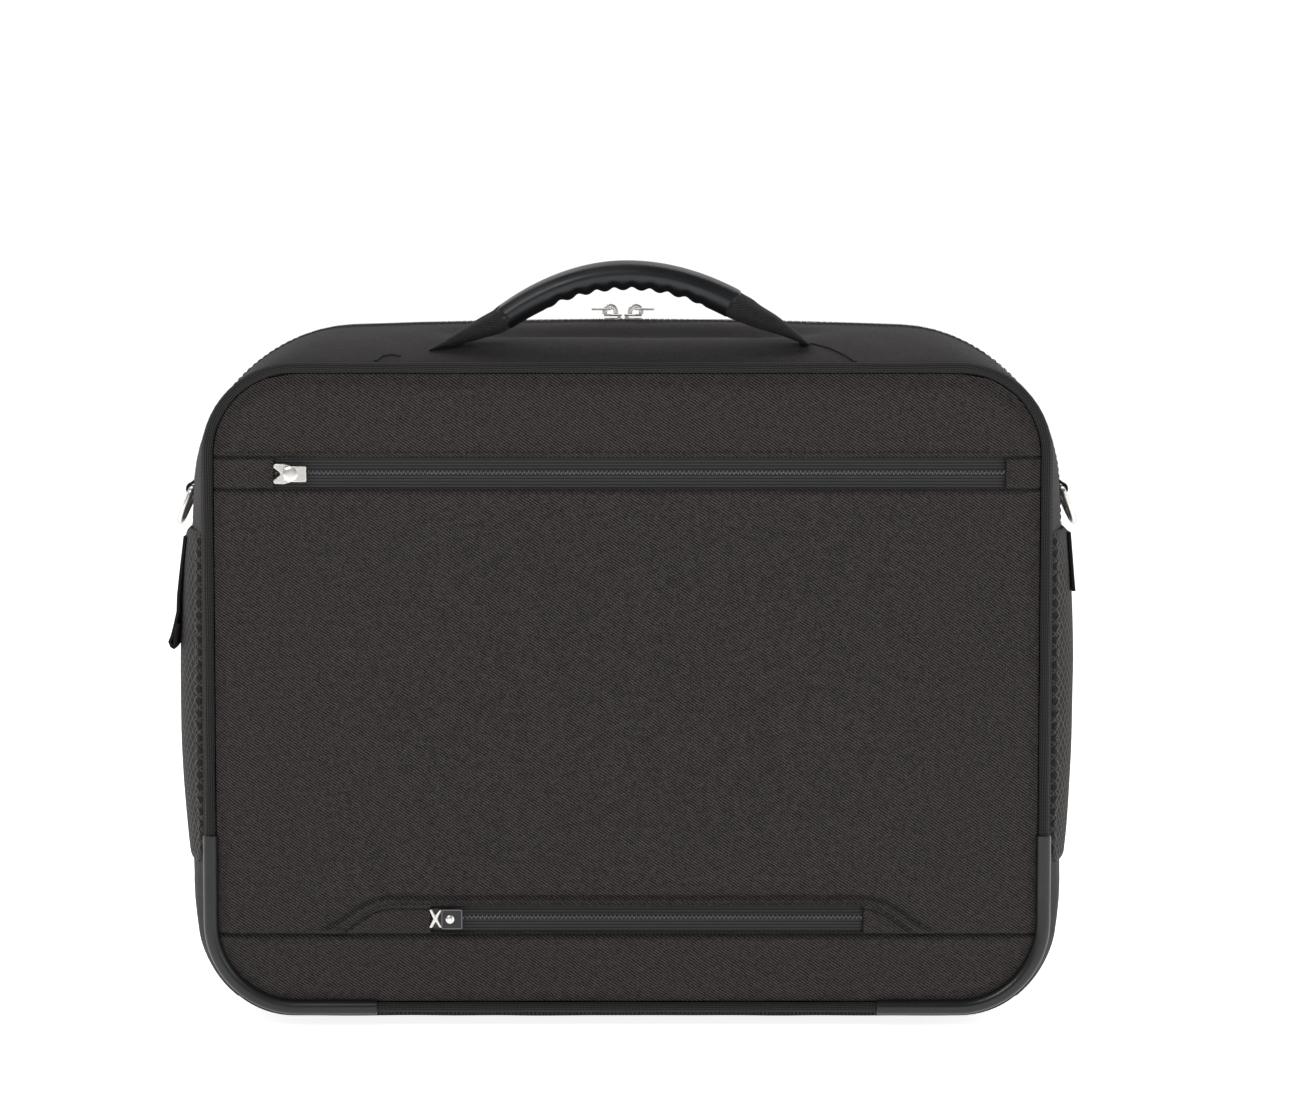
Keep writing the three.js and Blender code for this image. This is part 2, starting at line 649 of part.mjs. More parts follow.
function buildTrolley() {
  const floorTop = BEZEL.bottom + BEZEL.wall;
  const tubeHoles = [-TUBE_X, TUBE_X].map((x) => {
    const [wide, deep] = TUBE_SIZES.outer;
    return post(x, TUBE_Y, wide / 2 + GAP, deep / 2 + GAP, BEZEL.bottom - 1, floorTop + 1);
  });
  const well = block(
    -BEZEL.half + BEZEL.wall,
    BEZEL.half - BEZEL.wall,
    BEZEL.y0 + BEZEL.wall,
    BEZEL.y1 - BEZEL.wall,
    floorTop,
    FAR,
  );
  const rim = block(-BEZEL.half, BEZEL.half, BEZEL.y0, BEZEL.y1, BEZEL.bottom, BEZEL.top);
  part('trolley_bezel', cut(rim, well, ...tubeHoles), 'plastic');
  part('trolley_bottom_bracket', block(-90, 90, 66, 87.4, 15.4, 21.7), 'plastic');

  for (const [side, x] of [['left', -TUBE_X], ['right', TUBE_X]]) {
    part(`trolley_outer_tube_${side}`, squareTube(x, TUBE_SIZES.outer, 22, floorTop + 0.5), 'aluminium');
    part(`trolley_mid_tube_${side}`, squareTube(x, TUBE_SIZES.mid, 26, 302), 'aluminium');
    part(`trolley_top_tube_${side}`, squareTube(x, TUBE_SIZES.top, 30, 304), 'aluminium');
  }

  const { half, bottom, top } = TROLLEY_GRIP;
  const bar = block(-half, half, TUBE_Y - 7.6, TUBE_Y + 7.6, bottom, top);
  const pocketFloor = top - 6;
  const buttonPocket = post(0, TUBE_Y, BUTTON.half + 0.5, BUTTON.depthHalf + 0.5, pocketFloor, FAR);
  part('trolley_grip', cut(bar, buttonPocket), 'plastic');
  const buttonBottom = pocketFloor + BUTTON.travel + 0.5;
  part('trolley_button', post(0, TUBE_Y, BUTTON.half, BUTTON.depthHalf, buttonBottom, top + 1), 'rubber');
}

// ---------------------------------------------------------------- wheels and feet

/** A ring about the X axis, from a closed profile of (radius, x) points. */
function turned(profile, x, y, z, segments = 28) {
  const points = [...profile, profile[0]].map(([radius, along]) => new THREE.Vector2(radius, along));
  return new THREE.LatheGeometry(points, segments).rotateZ(-Math.PI / 2).translate(x, y, z);
}

function buildWheels() {
  const axleZ = WHEEL_RADIUS;
  const boreRadius = AXLE_RADIUS + GAP;
  const hubHalf = TYRE_HALF_WIDTH - 0.8;
  const shoulder = 2.5;
  const tyreHalf = TYRE_HALF_WIDTH;
  const innerRadius = HUB_RADIUS + GAP;
  for (const [side, sign] of [['left', -1], ['right', 1]]) {
    const x = sign * WHEEL_X;
    const hub = turned([
      [boreRadius, -hubHalf],
      [HUB_RADIUS, -hubHalf],
      [HUB_RADIUS, hubHalf],
      [boreRadius, hubHalf],
    ], x, WHEEL_Y, axleZ);
    part(`wheel_hub_${side}`, hub, 'plastic');
    const tyre = turned([
      [innerRadius, -tyreHalf],
      [WHEEL_RADIUS - shoulder, -tyreHalf],
      [WHEEL_RADIUS, -tyreHalf + shoulder],
      [WHEEL_RADIUS, tyreHalf - shoulder],
      [WHEEL_RADIUS - shoulder, tyreHalf],
      [innerRadius, tyreHalf],
    ], x, WHEEL_Y, axleZ);
    part(`wheel_tyre_${side}`, tyre, 'rubber');

    const axleLength = 2 * HOUSING.halfWidth - 1;
    const rod = (radius, length) => new THREE.CylinderGeometry(radius, radius, length, 16)
      .rotateZ(Math.PI / 2)
      .translate(x, WHEEL_Y, axleZ);
    part(`wheel_axle_${side}`, rod(AXLE_RADIUS, axleLength), 'steel');

    const shape = block(
      x - HOUSING.halfWidth,
      x + HOUSING.halfWidth,
      HOUSING.y0,
      HOUSING.y1,
      HOUSING.bottom,
      HOUSING.top,
    );
    const well = new THREE.CylinderGeometry(HOUSING.wellRadius, HOUSING.wellRadius, 25.4, 28)
      .rotateZ(Math.PI / 2)
      .translate(x, WHEEL_Y, axleZ);
    const trimmed = common(shape, caseVolume(-2, 10));
    part(`wheel_housing_${side}`, cut(trimmed, well, rod(boreRadius, FAR)), 'plastic');
  }
}

function buildFeet() {
  for (const [side, sign] of [['left', -1], ['right', 1]]) {
    const x = sign * FOOT_X;
    const rings = [[0, 1.2], [1.2, 0], [FOOT_TOP, 0]].map(([z, inset]) => [
      [1, 1], [-1, 1], [-1, -1], [1, -1],
    ].map(([dx, dy]) => new THREE.Vector3(x + dx * (6 - inset), FOOT_Y + dy * (10 - inset), z)));
    part(`foot_${side}`, loft(rings), 'plastic');
  }
}

buildShell();
buildMainZip();
buildFrontPanel();
buildPiping();
buildSides();
buildHandle();
buildSliders();
buildRings();
buildInside();
buildTrolley();
buildWheels();
buildFeet();

export default flightCase;
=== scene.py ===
"""The visual model of a soft-sided rolling pilot case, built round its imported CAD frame.

Shapes are worked out in millimetres in the row frame (X right, front towards -Y, Z up) and turned
into metres when a mesh is made.
"""

import math

import bmesh
import bpy
from mathutils import Matrix, Vector, noise


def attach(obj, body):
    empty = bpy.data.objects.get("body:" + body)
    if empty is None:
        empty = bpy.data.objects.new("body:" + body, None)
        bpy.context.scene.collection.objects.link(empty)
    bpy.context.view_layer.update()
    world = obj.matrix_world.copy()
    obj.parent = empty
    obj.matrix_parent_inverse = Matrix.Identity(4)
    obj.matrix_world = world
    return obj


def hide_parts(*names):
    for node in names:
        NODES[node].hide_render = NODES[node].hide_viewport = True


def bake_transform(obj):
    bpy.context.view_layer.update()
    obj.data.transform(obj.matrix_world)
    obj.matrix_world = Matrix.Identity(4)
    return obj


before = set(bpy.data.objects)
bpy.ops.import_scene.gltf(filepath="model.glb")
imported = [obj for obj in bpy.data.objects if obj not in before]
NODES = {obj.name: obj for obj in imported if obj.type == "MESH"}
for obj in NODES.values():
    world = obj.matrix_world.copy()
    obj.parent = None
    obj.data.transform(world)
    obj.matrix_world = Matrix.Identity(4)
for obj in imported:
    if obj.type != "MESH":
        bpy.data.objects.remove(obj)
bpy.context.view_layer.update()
MM = 0.001

# ---------------------------------------------------------------- sizes shared with the CAD model

FRONT_Y, BACK_Y, ZIP_Y = -88.0, 88.0, -10.0
SECTION_KEYS = ("half", "bottom", "top", "top_radius", "bottom_radius", "bow", "arch")
FRONT_SECTION = dict(zip(SECTION_KEYS, (206.0, 4.2, 323.0, 43.5, 44.0, 0.0, 0.0)))
CROWN_SECTION = dict(zip(SECTION_KEYS, (210.0, 4.0, 337.5, 73.0, 34.0, 8.0, 5.5)))
BACK_SECTION = dict(zip(SECTION_KEYS, (205.0, 8.0, 320.0, 50.0, 48.0, 0.0, 0.0)))
BASE_SPLIT = 14.0
FRAME_Y = -92.4
FRAME_LINE = dict(zip(SECTION_KEYS, (202.8, 9.8, 321.5, 42.0, 42.0, 0.0, 0.0)))
PANEL_INSET = 3.0
HANDLE_Y = -70.0
TAB_Y = -48.0
MEETING_X = -2.0
RING_X, RING_Y, RING_Z, RING_LEAN = 219.8, 18.0, 258.0, math.radians(23)
TUBE_X, TUBE_Y = 70.0, 76.0
WHEEL_X, WHEEL_Y, WHEEL_RADIUS = 158.0, 71.0, 27.0
UPPER_ZIP = {"x0": -170.4, "x1": 183.0, "z0": 263.4, "z1": 277.8, "teeth": 271.0, "slider": -166.0}
LOWER_ZIP = {"x0": -95.4, "x1": 115.0, "z0": 47.2, "z1": 59.9, "teeth": 54.4, "slider": -91.5}


def lerp(a, b, t):
    return a + (b - a) * t


def section_at(y):
    """The case's cross-section at a given y."""
    end, reach = (FRONT_SECTION, FRONT_Y - ZIP_Y) if y < ZIP_Y else (BACK_SECTION, BACK_Y - ZIP_Y)
    swell = 1 - min(1, (y - ZIP_Y) / reach) ** 2
    return {key: lerp(end[key], CROWN_SECTION[key], swell) for key in end}


def padding(section, x, z):
    """How far a section's outline is moved outward at a point, for its bowed sides and arched top."""
    across = x / section["half"]
    up = (z - section["bottom"]) / (section["top"] - section["bottom"])
    bow = section["bow"] * math.sin(math.pi * clamp01(up)) * across ** 3
    arch = section["arch"] * math.cos(math.pi / 2 * min(1, abs(across))) * max(0, 2 * up - 1) ** 2
    return bow, arch


def clamp01(t):
    return max(0.0, min(1.0, t))


def smooth(a, b, t):
    """0 before a, 1 after b, smooth between."""
    t = clamp01((t - a) / (b - a))
    return t * t * (3 - 2 * t)


def bell(centre, width, t):
    return math.exp(-(((t - centre) / width) ** 2))


def steps(a, b, count):
    """count + 1 evenly spaced values from a to b."""
    return [lerp(a, b, i / count) for i in range(count + 1)]


def fabric_noise(x, y, z, size):
    return noise.noise(Vector((x, y, z)) / size)


# ---------------------------------------------------------------- camera, light and floor

PICTURE_WIDTH = 637.33  # what the picture takes in across, at the target
CAMERA_DISTANCE = 2.2
CAMERA_ELEVATION = math.radians(5.3)
TARGET = Vector((0, FRAME_Y, 166.8)) * MM
OFF_CENTRE = (0.022468, 0.103960)  # the target lies this far left of and below the middle, in picture widths


def build_camera():
    """A long lens a little above the case, its view shifted rather than turned."""
    data = bpy.data.cameras.new("camera")
    camera = bpy.data.objects.new("camera", data)
    bpy.context.scene.collection.objects.link(camera)
    back = Vector((0, -math.cos(CAMERA_ELEVATION), math.sin(CAMERA_ELEVATION)))
    camera.location = TARGET + back * CAMERA_DISTANCE
    camera.rotation_euler = (math.pi / 2 - CAMERA_ELEVATION, 0, 0)
    data.sensor_width = 36
    data.lens = data.sensor_width * CAMERA_DISTANCE / (PICTURE_WIDTH * MM)
    data.shift_x, data.shift_y = OFF_CENTRE
    data.clip_end = 50
    bpy.context.scene.camera = camera


def area_light(name, place, aim, size, power):
    """A soft rectangular light at place, turned towards aim."""
    data = bpy.data.lights.new(name, "AREA")
    data.shape = "RECTANGLE"
    data.size, data.size_y = size
    data.energy = power
    light = bpy.data.objects.new(name, data)
    light.location = place
    light.rotation_euler = (Vector(aim) - Vector(place)).to_track_quat("-Z", "Y").to_euler()
    bpy.context.scene.collection.objects.link(light)


def build_studio():
    """Low plain world light, five soft lights, a pale floor and a white backdrop."""
    scene = bpy.context.scene
    scene.view_settings.view_transform = "Standard"
    world = bpy.data.worlds.new("studio")
    scene.world = world
    world.use_nodes = True
    background = world.node_tree.nodes["Background"]
    background.inputs["Color"].default_value = (1, 1, 1, 1)
    background.inputs["Strength"].default_value = 0.16
    area_light("key", (-1.0, -1.9, 1.7), (0, 0, 0.2), (1.3, 0.9), 19)
    area_light("fill", (1.6, -1.7, 0.9), (0, 0, 0.2), (0.8, 1.2), 9)
    area_light("top", (0, 0.3, 1.9), (0, 0, 0.2), (1.8, 0.6), 11)
    area_light("left_edge", (-1.9, 0.1, 0.7), (0, 0, 0.2), (0.8, 1.2), 6)
    area_light("right_edge", (1.9, 0.1, 0.7), (0, 0, 0.2), (0.8, 1.2), 6)

    reach = 14
    wide = [(-reach, -reach, 0), (reach, -reach, 0), (reach, reach, 0), (-reach, reach, 0)]
    stage_plane("floor", wide, colour=0.8, glow=0.86)
    tall = [(-reach, 5, -1), (reach, 5, -1), (reach, 5, reach), (-reach, 5, reach)]
    stage_plane("backdrop", tall, colour=0.0, glow=1.05)


def stage_plane(name, corners, colour, glow):
    """A plain matt surface of the studio, brightened a little so that it stays white."""
    mesh = bpy.data.meshes.new(name)
    mesh.from_pydata(corners, [], [(0, 1, 2, 3)])
    plane = bpy.data.objects.new(name, mesh)
    bpy.context.scene.collection.objects.link(plane)
    pale = bpy.data.materials.new(f"studio_{name}")
    pale.use_nodes = True
    shader = pale.node_tree.nodes["Principled BSDF"]
    shader.inputs["Base Color"].default_value = (colour, colour, colour, 1)
    shader.inputs["Roughness"].default_value = 0.9
    shader.inputs["Specular IOR Level"].default_value = 0.0
    shader.inputs["Emission Color"].default_value = (1, 1, 1, 1)
    shader.inputs["Emission Strength"].default_value = glow
    mesh.materials.append(pale)


# ---------------------------------------------------------------- material kit


class Nodes:
    """A short way of writing a material's node tree."""

    def __init__(self, name, roughness=0.6, metallic=0.0):
        self.material = bpy.data.materials.new(name)
        self.material.use_nodes = True
        self.tree = self.material.node_tree
        self.shader = self.tree.nodes["Principled BSDF"]
        self.set(Roughness=roughness, Metallic=metallic)

    def set(self, **values):
        for key, value in values.items():
            self.shader.inputs[key.replace("_", " ")].default_value = value

    def feed(self, node, socket, value):
        if isinstance(value, bpy.types.NodeSocket):
            self.tree.links.new(value, node.inputs[socket])
        else:
            node.inputs[socket].default_value = value

    def math(self, operation, a, b=None, clamp=False):
        node = self.tree.nodes.new("ShaderNodeMath")
        node.operation = operation
        node.use_clamp = clamp
        self.feed(node, 0, a)
        if b is not None:
            self.feed(node, 1, b)
        return node.outputs[0]

    def uv(self):
        """The surface's own coordinates, in millimetres along and across the weave."""
        node = self.tree.nodes.new("ShaderNodeUVMap")
        node.uv_map = "metric"
        split = self.tree.nodes.new("ShaderNodeSeparateXYZ")
        self.tree.links.new(node.outputs[0], split.inputs[0])
        return split.outputs[0], split.outputs[1]

    def place(self):
        node = self.tree.nodes.new("ShaderNodeTexCoord")
        return node.outputs["Object"]

    def noise(self, scale, detail=3.0, roughness=0.55, vector=None, distortion=0.0):
        """Soft noise, finer as scale rises."""
        node = self.tree.nodes.new("ShaderNodeTexNoise")
        self.tree.links.new(vector or self.place(), node.inputs["Vector"])
        node.inputs["Scale"].default_value = scale
        node.inputs["Detail"].default_value = detail
        node.inputs["Roughness"].default_value = roughness
        node.inputs["Distortion"].default_value = distortion
        return node.outputs["Fac"]

    def wave(self, value, pitch, phase=0.0):
        """A smooth 0 to 1 ripple along value, one for each pitch."""
        turns = self.math("MULTIPLY_ADD", value, 2 * math.pi / pitch)
        turns.node.inputs[2].default_value = 0.0
        if isinstance(phase, bpy.types.NodeSocket):
            turns = self.math("ADD", turns, phase)
        ripple = self.math("MULTIPLY_ADD", self.math("SINE", turns), 0.5)
        ripple.node.inputs[2].default_value = 0.5
        return ripple

    def mix(self, factor, a, b):
        """A colour between a and b."""
        node = self.tree.nodes.new("ShaderNodeMix")
        node.data_type = "RGBA"
        self.feed(node, 0, factor)
        for socket, value in ((6, a), (7, b)):
            if isinstance(value, bpy.types.NodeSocket):
                self.tree.links.new(value, node.inputs[socket])
            else:
                node.inputs[socket].default_value = (*value, 1)
        return node.outputs[2]

    def remap(self, value, low, high, from_low=0.0, from_high=1.0):
        """A value carried from one range to another."""
        node = self.tree.nodes.new("ShaderNodeMapRange")
        self.feed(node, 0, value)
        for socket, number in ((1, from_low), (2, from_high), (3, low), (4, high)):
            node.inputs[socket].default_value = number
        return node.outputs[0]

    def colour(self, socket):
        self.tree.links.new(socket, self.shader.inputs["Base Color"])

    def roughness(self, socket):
        self.tree.links.new(socket, self.shader.inputs["Roughness"])

    def bump(self, height, depth, strength=1.0, under=None):
        """A surface normal from a height, depth in millimetres."""
        node = self.tree.nodes.new("ShaderNodeBump")
        node.inputs["Strength"].default_value = strength
        node.inputs["Distance"].default_value = depth * MM
        self.tree.links.new(height, node.inputs["Height"])
        if under is not None:
            self.tree.links.new(under, node.inputs["Normal"])
        return node.outputs[0]

    def normal(self, socket):
        self.tree.links.new(socket, self.shader.inputs["Normal"])


def twill(name, dark, light, pitch=1.3, angle=-34, depth=0.3, sheen=0.03):
    """Diagonal twill: ribs one pitch apart, broken up by the cross yarns, with uneven dyeing."""
    n = Nodes(name, roughness=0.8)
    u, v = n.uv()
    turn = math.radians(angle)
    across = n.math("ADD", n.math("MULTIPLY", u, -math.sin(turn)), n.math("MULTIPLY", v, math.cos(turn)))
    along = n.math("ADD", n.math("MULTIPLY", u, math.cos(turn)), n.math("MULTIPLY", v, math.sin(turn)))
    wander = n.math("ADD", n.math("MULTIPLY", n.noise(150, 3), 3.2), n.math("MULTIPLY", n.noise(900, 2), 2.4))
    rib = n.remap(n.wave(across, pitch, wander), 0.0, 1.0, 0.25, 0.75)
    yarn = n.wave(along, pitch * 0.8, n.math("MULTIPLY", rib, 2.6))
    height = n.math("MULTIPLY", rib, n.remap(yarn, 0.25, 1.0))
    fuzz = n.remap(n.noise(1300, 3, 0.8), 0.0, 0.5, 0.3, 0.7)
    patch = n.remap(n.noise(7, 3, 0.5), 0.95, 1.05, 0.3, 0.7)
    slub = n.remap(n.noise(360, 3, 0.7), 0.72, 1.28, 0.35, 0.65)
    shade = n.math("ADD", n.math("MULTIPLY", height, 0.95), n.math("SUBTRACT", fuzz, 0.12))
    shade = n.math("MULTIPLY", shade, n.math("MULTIPLY", slub, patch))
    n.colour(n.mix(shade, dark, light))
    n.roughness(n.remap(height, 0.9, 0.66))
    n.normal(n.bump(height, depth, 0.8))
    n.set(Sheen_Weight=sheen, Sheen_Roughness=0.45, Specular_IOR_Level=0.2)
    return n.material


def ribbed(name, dark, light, pitch=0.9, cross=0.55, depth=0.2, along_v=False, rough=0.75):
    """Narrow woven tape: ribs along its length, with a fine cross weave."""
    n = Nodes(name, roughness=rough)
    u, v = n.uv()
    across, along = (u, v) if along_v else (v, u)
    rib = n.wave(across, pitch)
    weave = n.wave(along, cross, n.math("MULTIPLY", rib, 3.1))
    height = n.math("MULTIPLY", rib, n.remap(weave, 0.6, 1.0))
    fuzz = n.noise(2200, 2, 0.7)
    shade = n.math("ADD", n.math("MULTIPLY", height, 0.7), n.math("MULTIPLY", fuzz, 0.35))
    n.colour(n.mix(shade, dark, light))
    n.roughness(n.remap(height, 0.9, rough - 0.1))
    n.normal(n.bump(height, depth, 0.8))
    n.set(Sheen_Weight=0.03, Specular_IOR_Level=0.15)
    return n.material


def plain_weave(name, dark, light, pitch=0.5, depth=0.1):
    """Plain woven lining cloth."""
    n = Nodes(name, roughness=0.85)
    u, v = n.uv()
    height = n.math("MULTIPLY", n.wave(u, pitch), n.wave(v, pitch))
    shade = n.math("ADD", n.math("MULTIPLY", height, 0.8), n.math("MULTIPLY", n.noise(40, 4), 0.35))
    n.colour(n.mix(shade, dark, light))
    n.roughness(n.remap(height, 0.92, 0.74))
    n.normal(n.bump(height, depth, 0.7))
    n.set(Sheen_Weight=0.03, Specular_IOR_Level=0.15)
    return n.material


def embossed(name, dark, light, pitch):
    """Plain weave pressed into small diamonds, its raised lines rubbed lighter."""
    n = Nodes(name, roughness=0.8)
    u, v = n.uv()
    lines = []
    for operation in ("ADD", "SUBTRACT"):
        turn = n.math("FRACT", n.math("MULTIPLY", n.math(operation, u, v), 1 / pitch))
        lines.append(n.math("ABSOLUTE", n.math("SUBTRACT", turn, 0.5)))
    ridge = n.math("MULTIPLY", n.math("MAXIMUM", lines[0], lines[1]), 2)
    ridge = n.remap(ridge, 0.0, 1.0, 0.72, 0.98)
    weave = n.math("MULTIPLY", n.wave(u, 0.9), n.wave(v, 0.9))
    rubbed = n.math("MULTIPLY", ridge, n.remap(n.noise(260, 3), 0.25, 1.0, 0.35, 0.65))
    shade = n.math("ADD", n.math("MULTIPLY", weave, 0.35), n.math("MULTIPLY", rubbed, 0.65))
    n.colour(n.mix(shade, dark, light))
    n.roughness(n.remap(ridge, 0.85, 0.6))
    n.normal(n.bump(n.math("ADD", ridge, n.math("MULTIPLY", weave, 0.3)), 0.3, 0.7))
    n.set(Sheen_Weight=0.03, Specular_IOR_Level=0.2)
    return n.material


def moulded(name, dark, light, roughness=0.5, grain=900, depth=0.05):
    """Rubber or plastic with a fine moulded grain, worn smoother in patches."""
    n = Nodes(name, roughness=roughness)
    grain_height = n.noise(grain, 3, 0.6)
    wear = n.noise(18, 5, 0.65)
    n.colour(n.mix(n.math("MULTIPLY", wear, n.remap(grain_height, 0.7, 1.1)), dark, light))
    n.roughness(n.remap(wear, roughness + 0.12, roughness - 0.1, 0.3, 0.7))
    n.normal(n.bump(grain_height, depth, 0.6))
    n.set(Specular_IOR_Level=0.45)
    return n.material


def metal(name, dark, light, roughness=0.25, brushed=0.0):
    """Plated or drawn metal, with painted shade where it turns away from the view."""
    n = Nodes(name, roughness=roughness, metallic=1.0)
    cloud = n.noise(60, 4, 0.6)
    # painted shade: the colour is mixed towards a dark shadow tone as the surface turns away from the view
    painted_shade_facing = n.tree.nodes.new("ShaderNodeLayerWeight")
    painted_shade_facing.inputs["Blend"].default_value = 0.35
    rim = n.remap(painted_shade_facing.outputs["Facing"], 0.0, 0.85, 0.35, 0.95)
    shadow = tuple(0.22 * part for part in dark)
    # the base colour is painted shade over the cloudy metal tone
    n.colour(n.mix(rim, n.mix(cloud, dark, light), shadow))
    n.roughness(n.remap(n.noise(240, 4, 0.7), roughness - 0.08, roughness + 0.12, 0.3, 0.7))
    if brushed:
        stretch = n.tree.nodes.new("ShaderNodeMapping")
        stretch.inputs["Scale"].default_value = (900, 900, 12)
        n.tree.links.new(n.place(), stretch.inputs["Vector"])
        n.normal(n.bump(n.noise(1.0, 2, 0.6, stretch.outputs[0]), brushed, 0.5))
    else:
        n.normal(n.bump(n.noise(500, 3), 0.01, 0.4))
    return n.material


def thread(name, dark, light):
    """Sewing thread."""
    n = Nodes(name, roughness=0.6)
    n.colour(n.mix(n.noise(700, 2), dark, light))
    n.normal(n.bump(n.noise(3000, 2), 0.05, 0.6))
    n.set(Sheen_Weight=0.05, Specular_IOR_Level=0.2)
    return n.material


TWILL = twill("twill_fabric", (0.0022, 0.0019, 0.0018), (0.074, 0.0645, 0.0605), pitch=1.2)
TWILL_SOFT = twill("twill_top", (0.0050, 0.0044, 0.0043), (0.047, 0.0420, 0.0405), pitch=1.05, depth=0.18)
TWILL_FINE = twill("twill_sleeve", (0.0045, 0.0041, 0.0041), (0.036, 0.0335, 0.0335), pitch=0.75, depth=0.14)
EMBOSS = embossed("embossed_fabric", (0.0050, 0.0045, 0.0041), (0.084, 0.0750, 0.0690), pitch=6.0)
PIPING = ribbed("ribbed_piping", (0.0035, 0.0034, 0.0034), (0.042, 0.040, 0.040), pitch=1.1, cross=1.7,
                depth=0.3)
TAPE = ribbed("zip_tape_weave", (0.0090, 0.0090, 0.0093), (0.056, 0.056, 0.057), pitch=1.5, cross=0.7,
              depth=0.15)
WEBBING = ribbed("ribbed_webbing", (0.0045, 0.0047, 0.0056), (0.022, 0.023, 0.027), pitch=1.3, cross=0.9)
LINING = plain_weave("lining_cloth", (0.030, 0.031, 0.034), (0.075, 0.077, 0.083), pitch=0.7)
GUARD = moulded("guard_rubber", (0.0070, 0.0073, 0.0071), (0.0165, 0.0172, 0.0168), roughness=0.3,
                grain=500, depth=0.02)
GRIP = moulded("grip_rubber", (0.0018, 0.0023, 0.0032), (0.0052, 0.0066, 0.0085), roughness=0.36,
               grain=1500, depth=0.05)
TYRE = moulded("tyre_rubber", (0.008, 0.008, 0.008), (0.022, 0.022, 0.022), roughness=0.66, grain=900,
               depth=0.06)
PLASTIC = moulded("black_plastic", (0.008, 0.008, 0.009), (0.022, 0.022, 0.023), roughness=0.48, grain=1300,
                  depth=0.05)
BOARD = moulded("stiff_board", (0.020, 0.020, 0.021), (0.040, 0.040, 0.042), roughness=0.75, grain=300,
                depth=0.1)
COIL = moulded("zip_coil_plastic", (0.050, 0.050, 0.053), (0.190, 0.190, 0.200), roughness=0.35, grain=900,
               depth=0.02)
TAG = moulded("black_tag", (0.006, 0.006, 0.007), (0.014, 0.014, 0.015), roughness=0.4, grain=1300,
              depth=0.03)
NICKEL = metal("nickel_plate", (0.62, 0.59, 0.55), (0.90, 0.88, 0.85), 0.3)
ALUMINIUM = metal("aluminium_tube", (0.50, 0.51, 0.52), (0.68, 0.69, 0.70), 0.32, brushed=0.03)
STEEL = metal("steel_axle", (0.36, 0.36, 0.36), (0.56, 0.56, 0.56), 0.3)
THREAD = thread("sewing_thread", (0.005, 0.005, 0.005), (0.024, 0.023, 0.022))
THREAD_PALE = thread("zigzag_thread", (0.040, 0.038, 0.036), (0.110, 0.106, 0.102))

# ---------------------------------------------------------------- mesh kit


def finish_piece(obj, body, slot, *nodes):
    """Rides a piece on its body and lets it stand for its CAD nodes; slot is not used."""
    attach(obj, body)
    if nodes:
        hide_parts(*nodes)
    return obj


def make_mesh(name, verts, faces, uvs, materials, face_materials=None, sharp=50):
    """verts in millimetres. uvs is one (u, v) for each vertex, or one list for each face."""
    mesh = bpy.data.meshes.new(name)
    mesh.from_pydata([Vector(v) * MM for v in verts], [], faces)
    layer = mesh.uv_layers.new(name="metric")
    per_face = isinstance(uvs[0], list)
    loop = 0
    for index, face in enumerate(faces):
        for corner, vertex in enumerate(face):
            layer.data[loop].uv = uvs[index][corner] if per_face else uvs[vertex]
            loop += 1
    for material in materials:
        mesh.materials.append(material)
    for index, polygon in enumerate(mesh.polygons):
        polygon.use_smooth = True
        if face_materials:
            polygon.material_index = face_materials[index]
    mesh.validate()
    mesh.set_sharp_from_angle(angle=math.radians(sharp))
    obj = bpy.data.objects.new(name, mesh)
    bpy.context.scene.collection.objects.link(obj)
    return obj


def grid_piece(name, rows, uv_rows, materials, comes_round=False, sharp=50, flip=False):
    """A sheet through rows of points."""
    count = len(rows[0])
    verts = [p for row in rows for p in row]
    uvs = [uv for row in uv_rows for uv in row]
    faces = []
    for r in range(len(rows) - 1):
        for i in range(count if comes_round else count - 1):
            j = (i + 1) % count
            face = (r * count + i, r * count + j, (r + 1) * count + j, (r + 1) * count + i)
            faces.append(face[::-1] if flip else face)
    return make_mesh(name, verts, faces, uvs, materials, sharp=sharp)


def thicken(obj, thickness, offset=-1.0, inner_material=0):
    """Gives a sheet its thickness, inward unless offset says otherwise."""
    modifier = obj.modifiers.new("thickness", "SOLIDIFY")
    modifier.thickness = thickness * MM
    modifier.offset = offset
    modifier.use_even_offset = True
    modifier.material_offset = inner_material
    return obj


def round_edges(obj, width, segments=3, angle=35):
    """Rounds the edges that are sharper than an angle."""
    modifier = obj.modifiers.new("round_edges", "BEVEL")
    modifier.width = width * MM
    modifier.segments = segments
    modifier.limit_method = "ANGLE"
    modifier.angle_limit = math.radians(angle)
    modifier.harden_normals = False
    return obj


def bake(obj):
    """Applies every modifier."""
    bpy.context.view_layer.update()
    depsgraph = bpy.context.evaluated_depsgraph_get()
    mesh = bpy.data.meshes.new_from_object(obj.evaluated_get(depsgraph))
    obj.modifiers.clear()
    old = obj.data
    obj.data = mesh
    bpy.data.meshes.remove(old)
    return obj


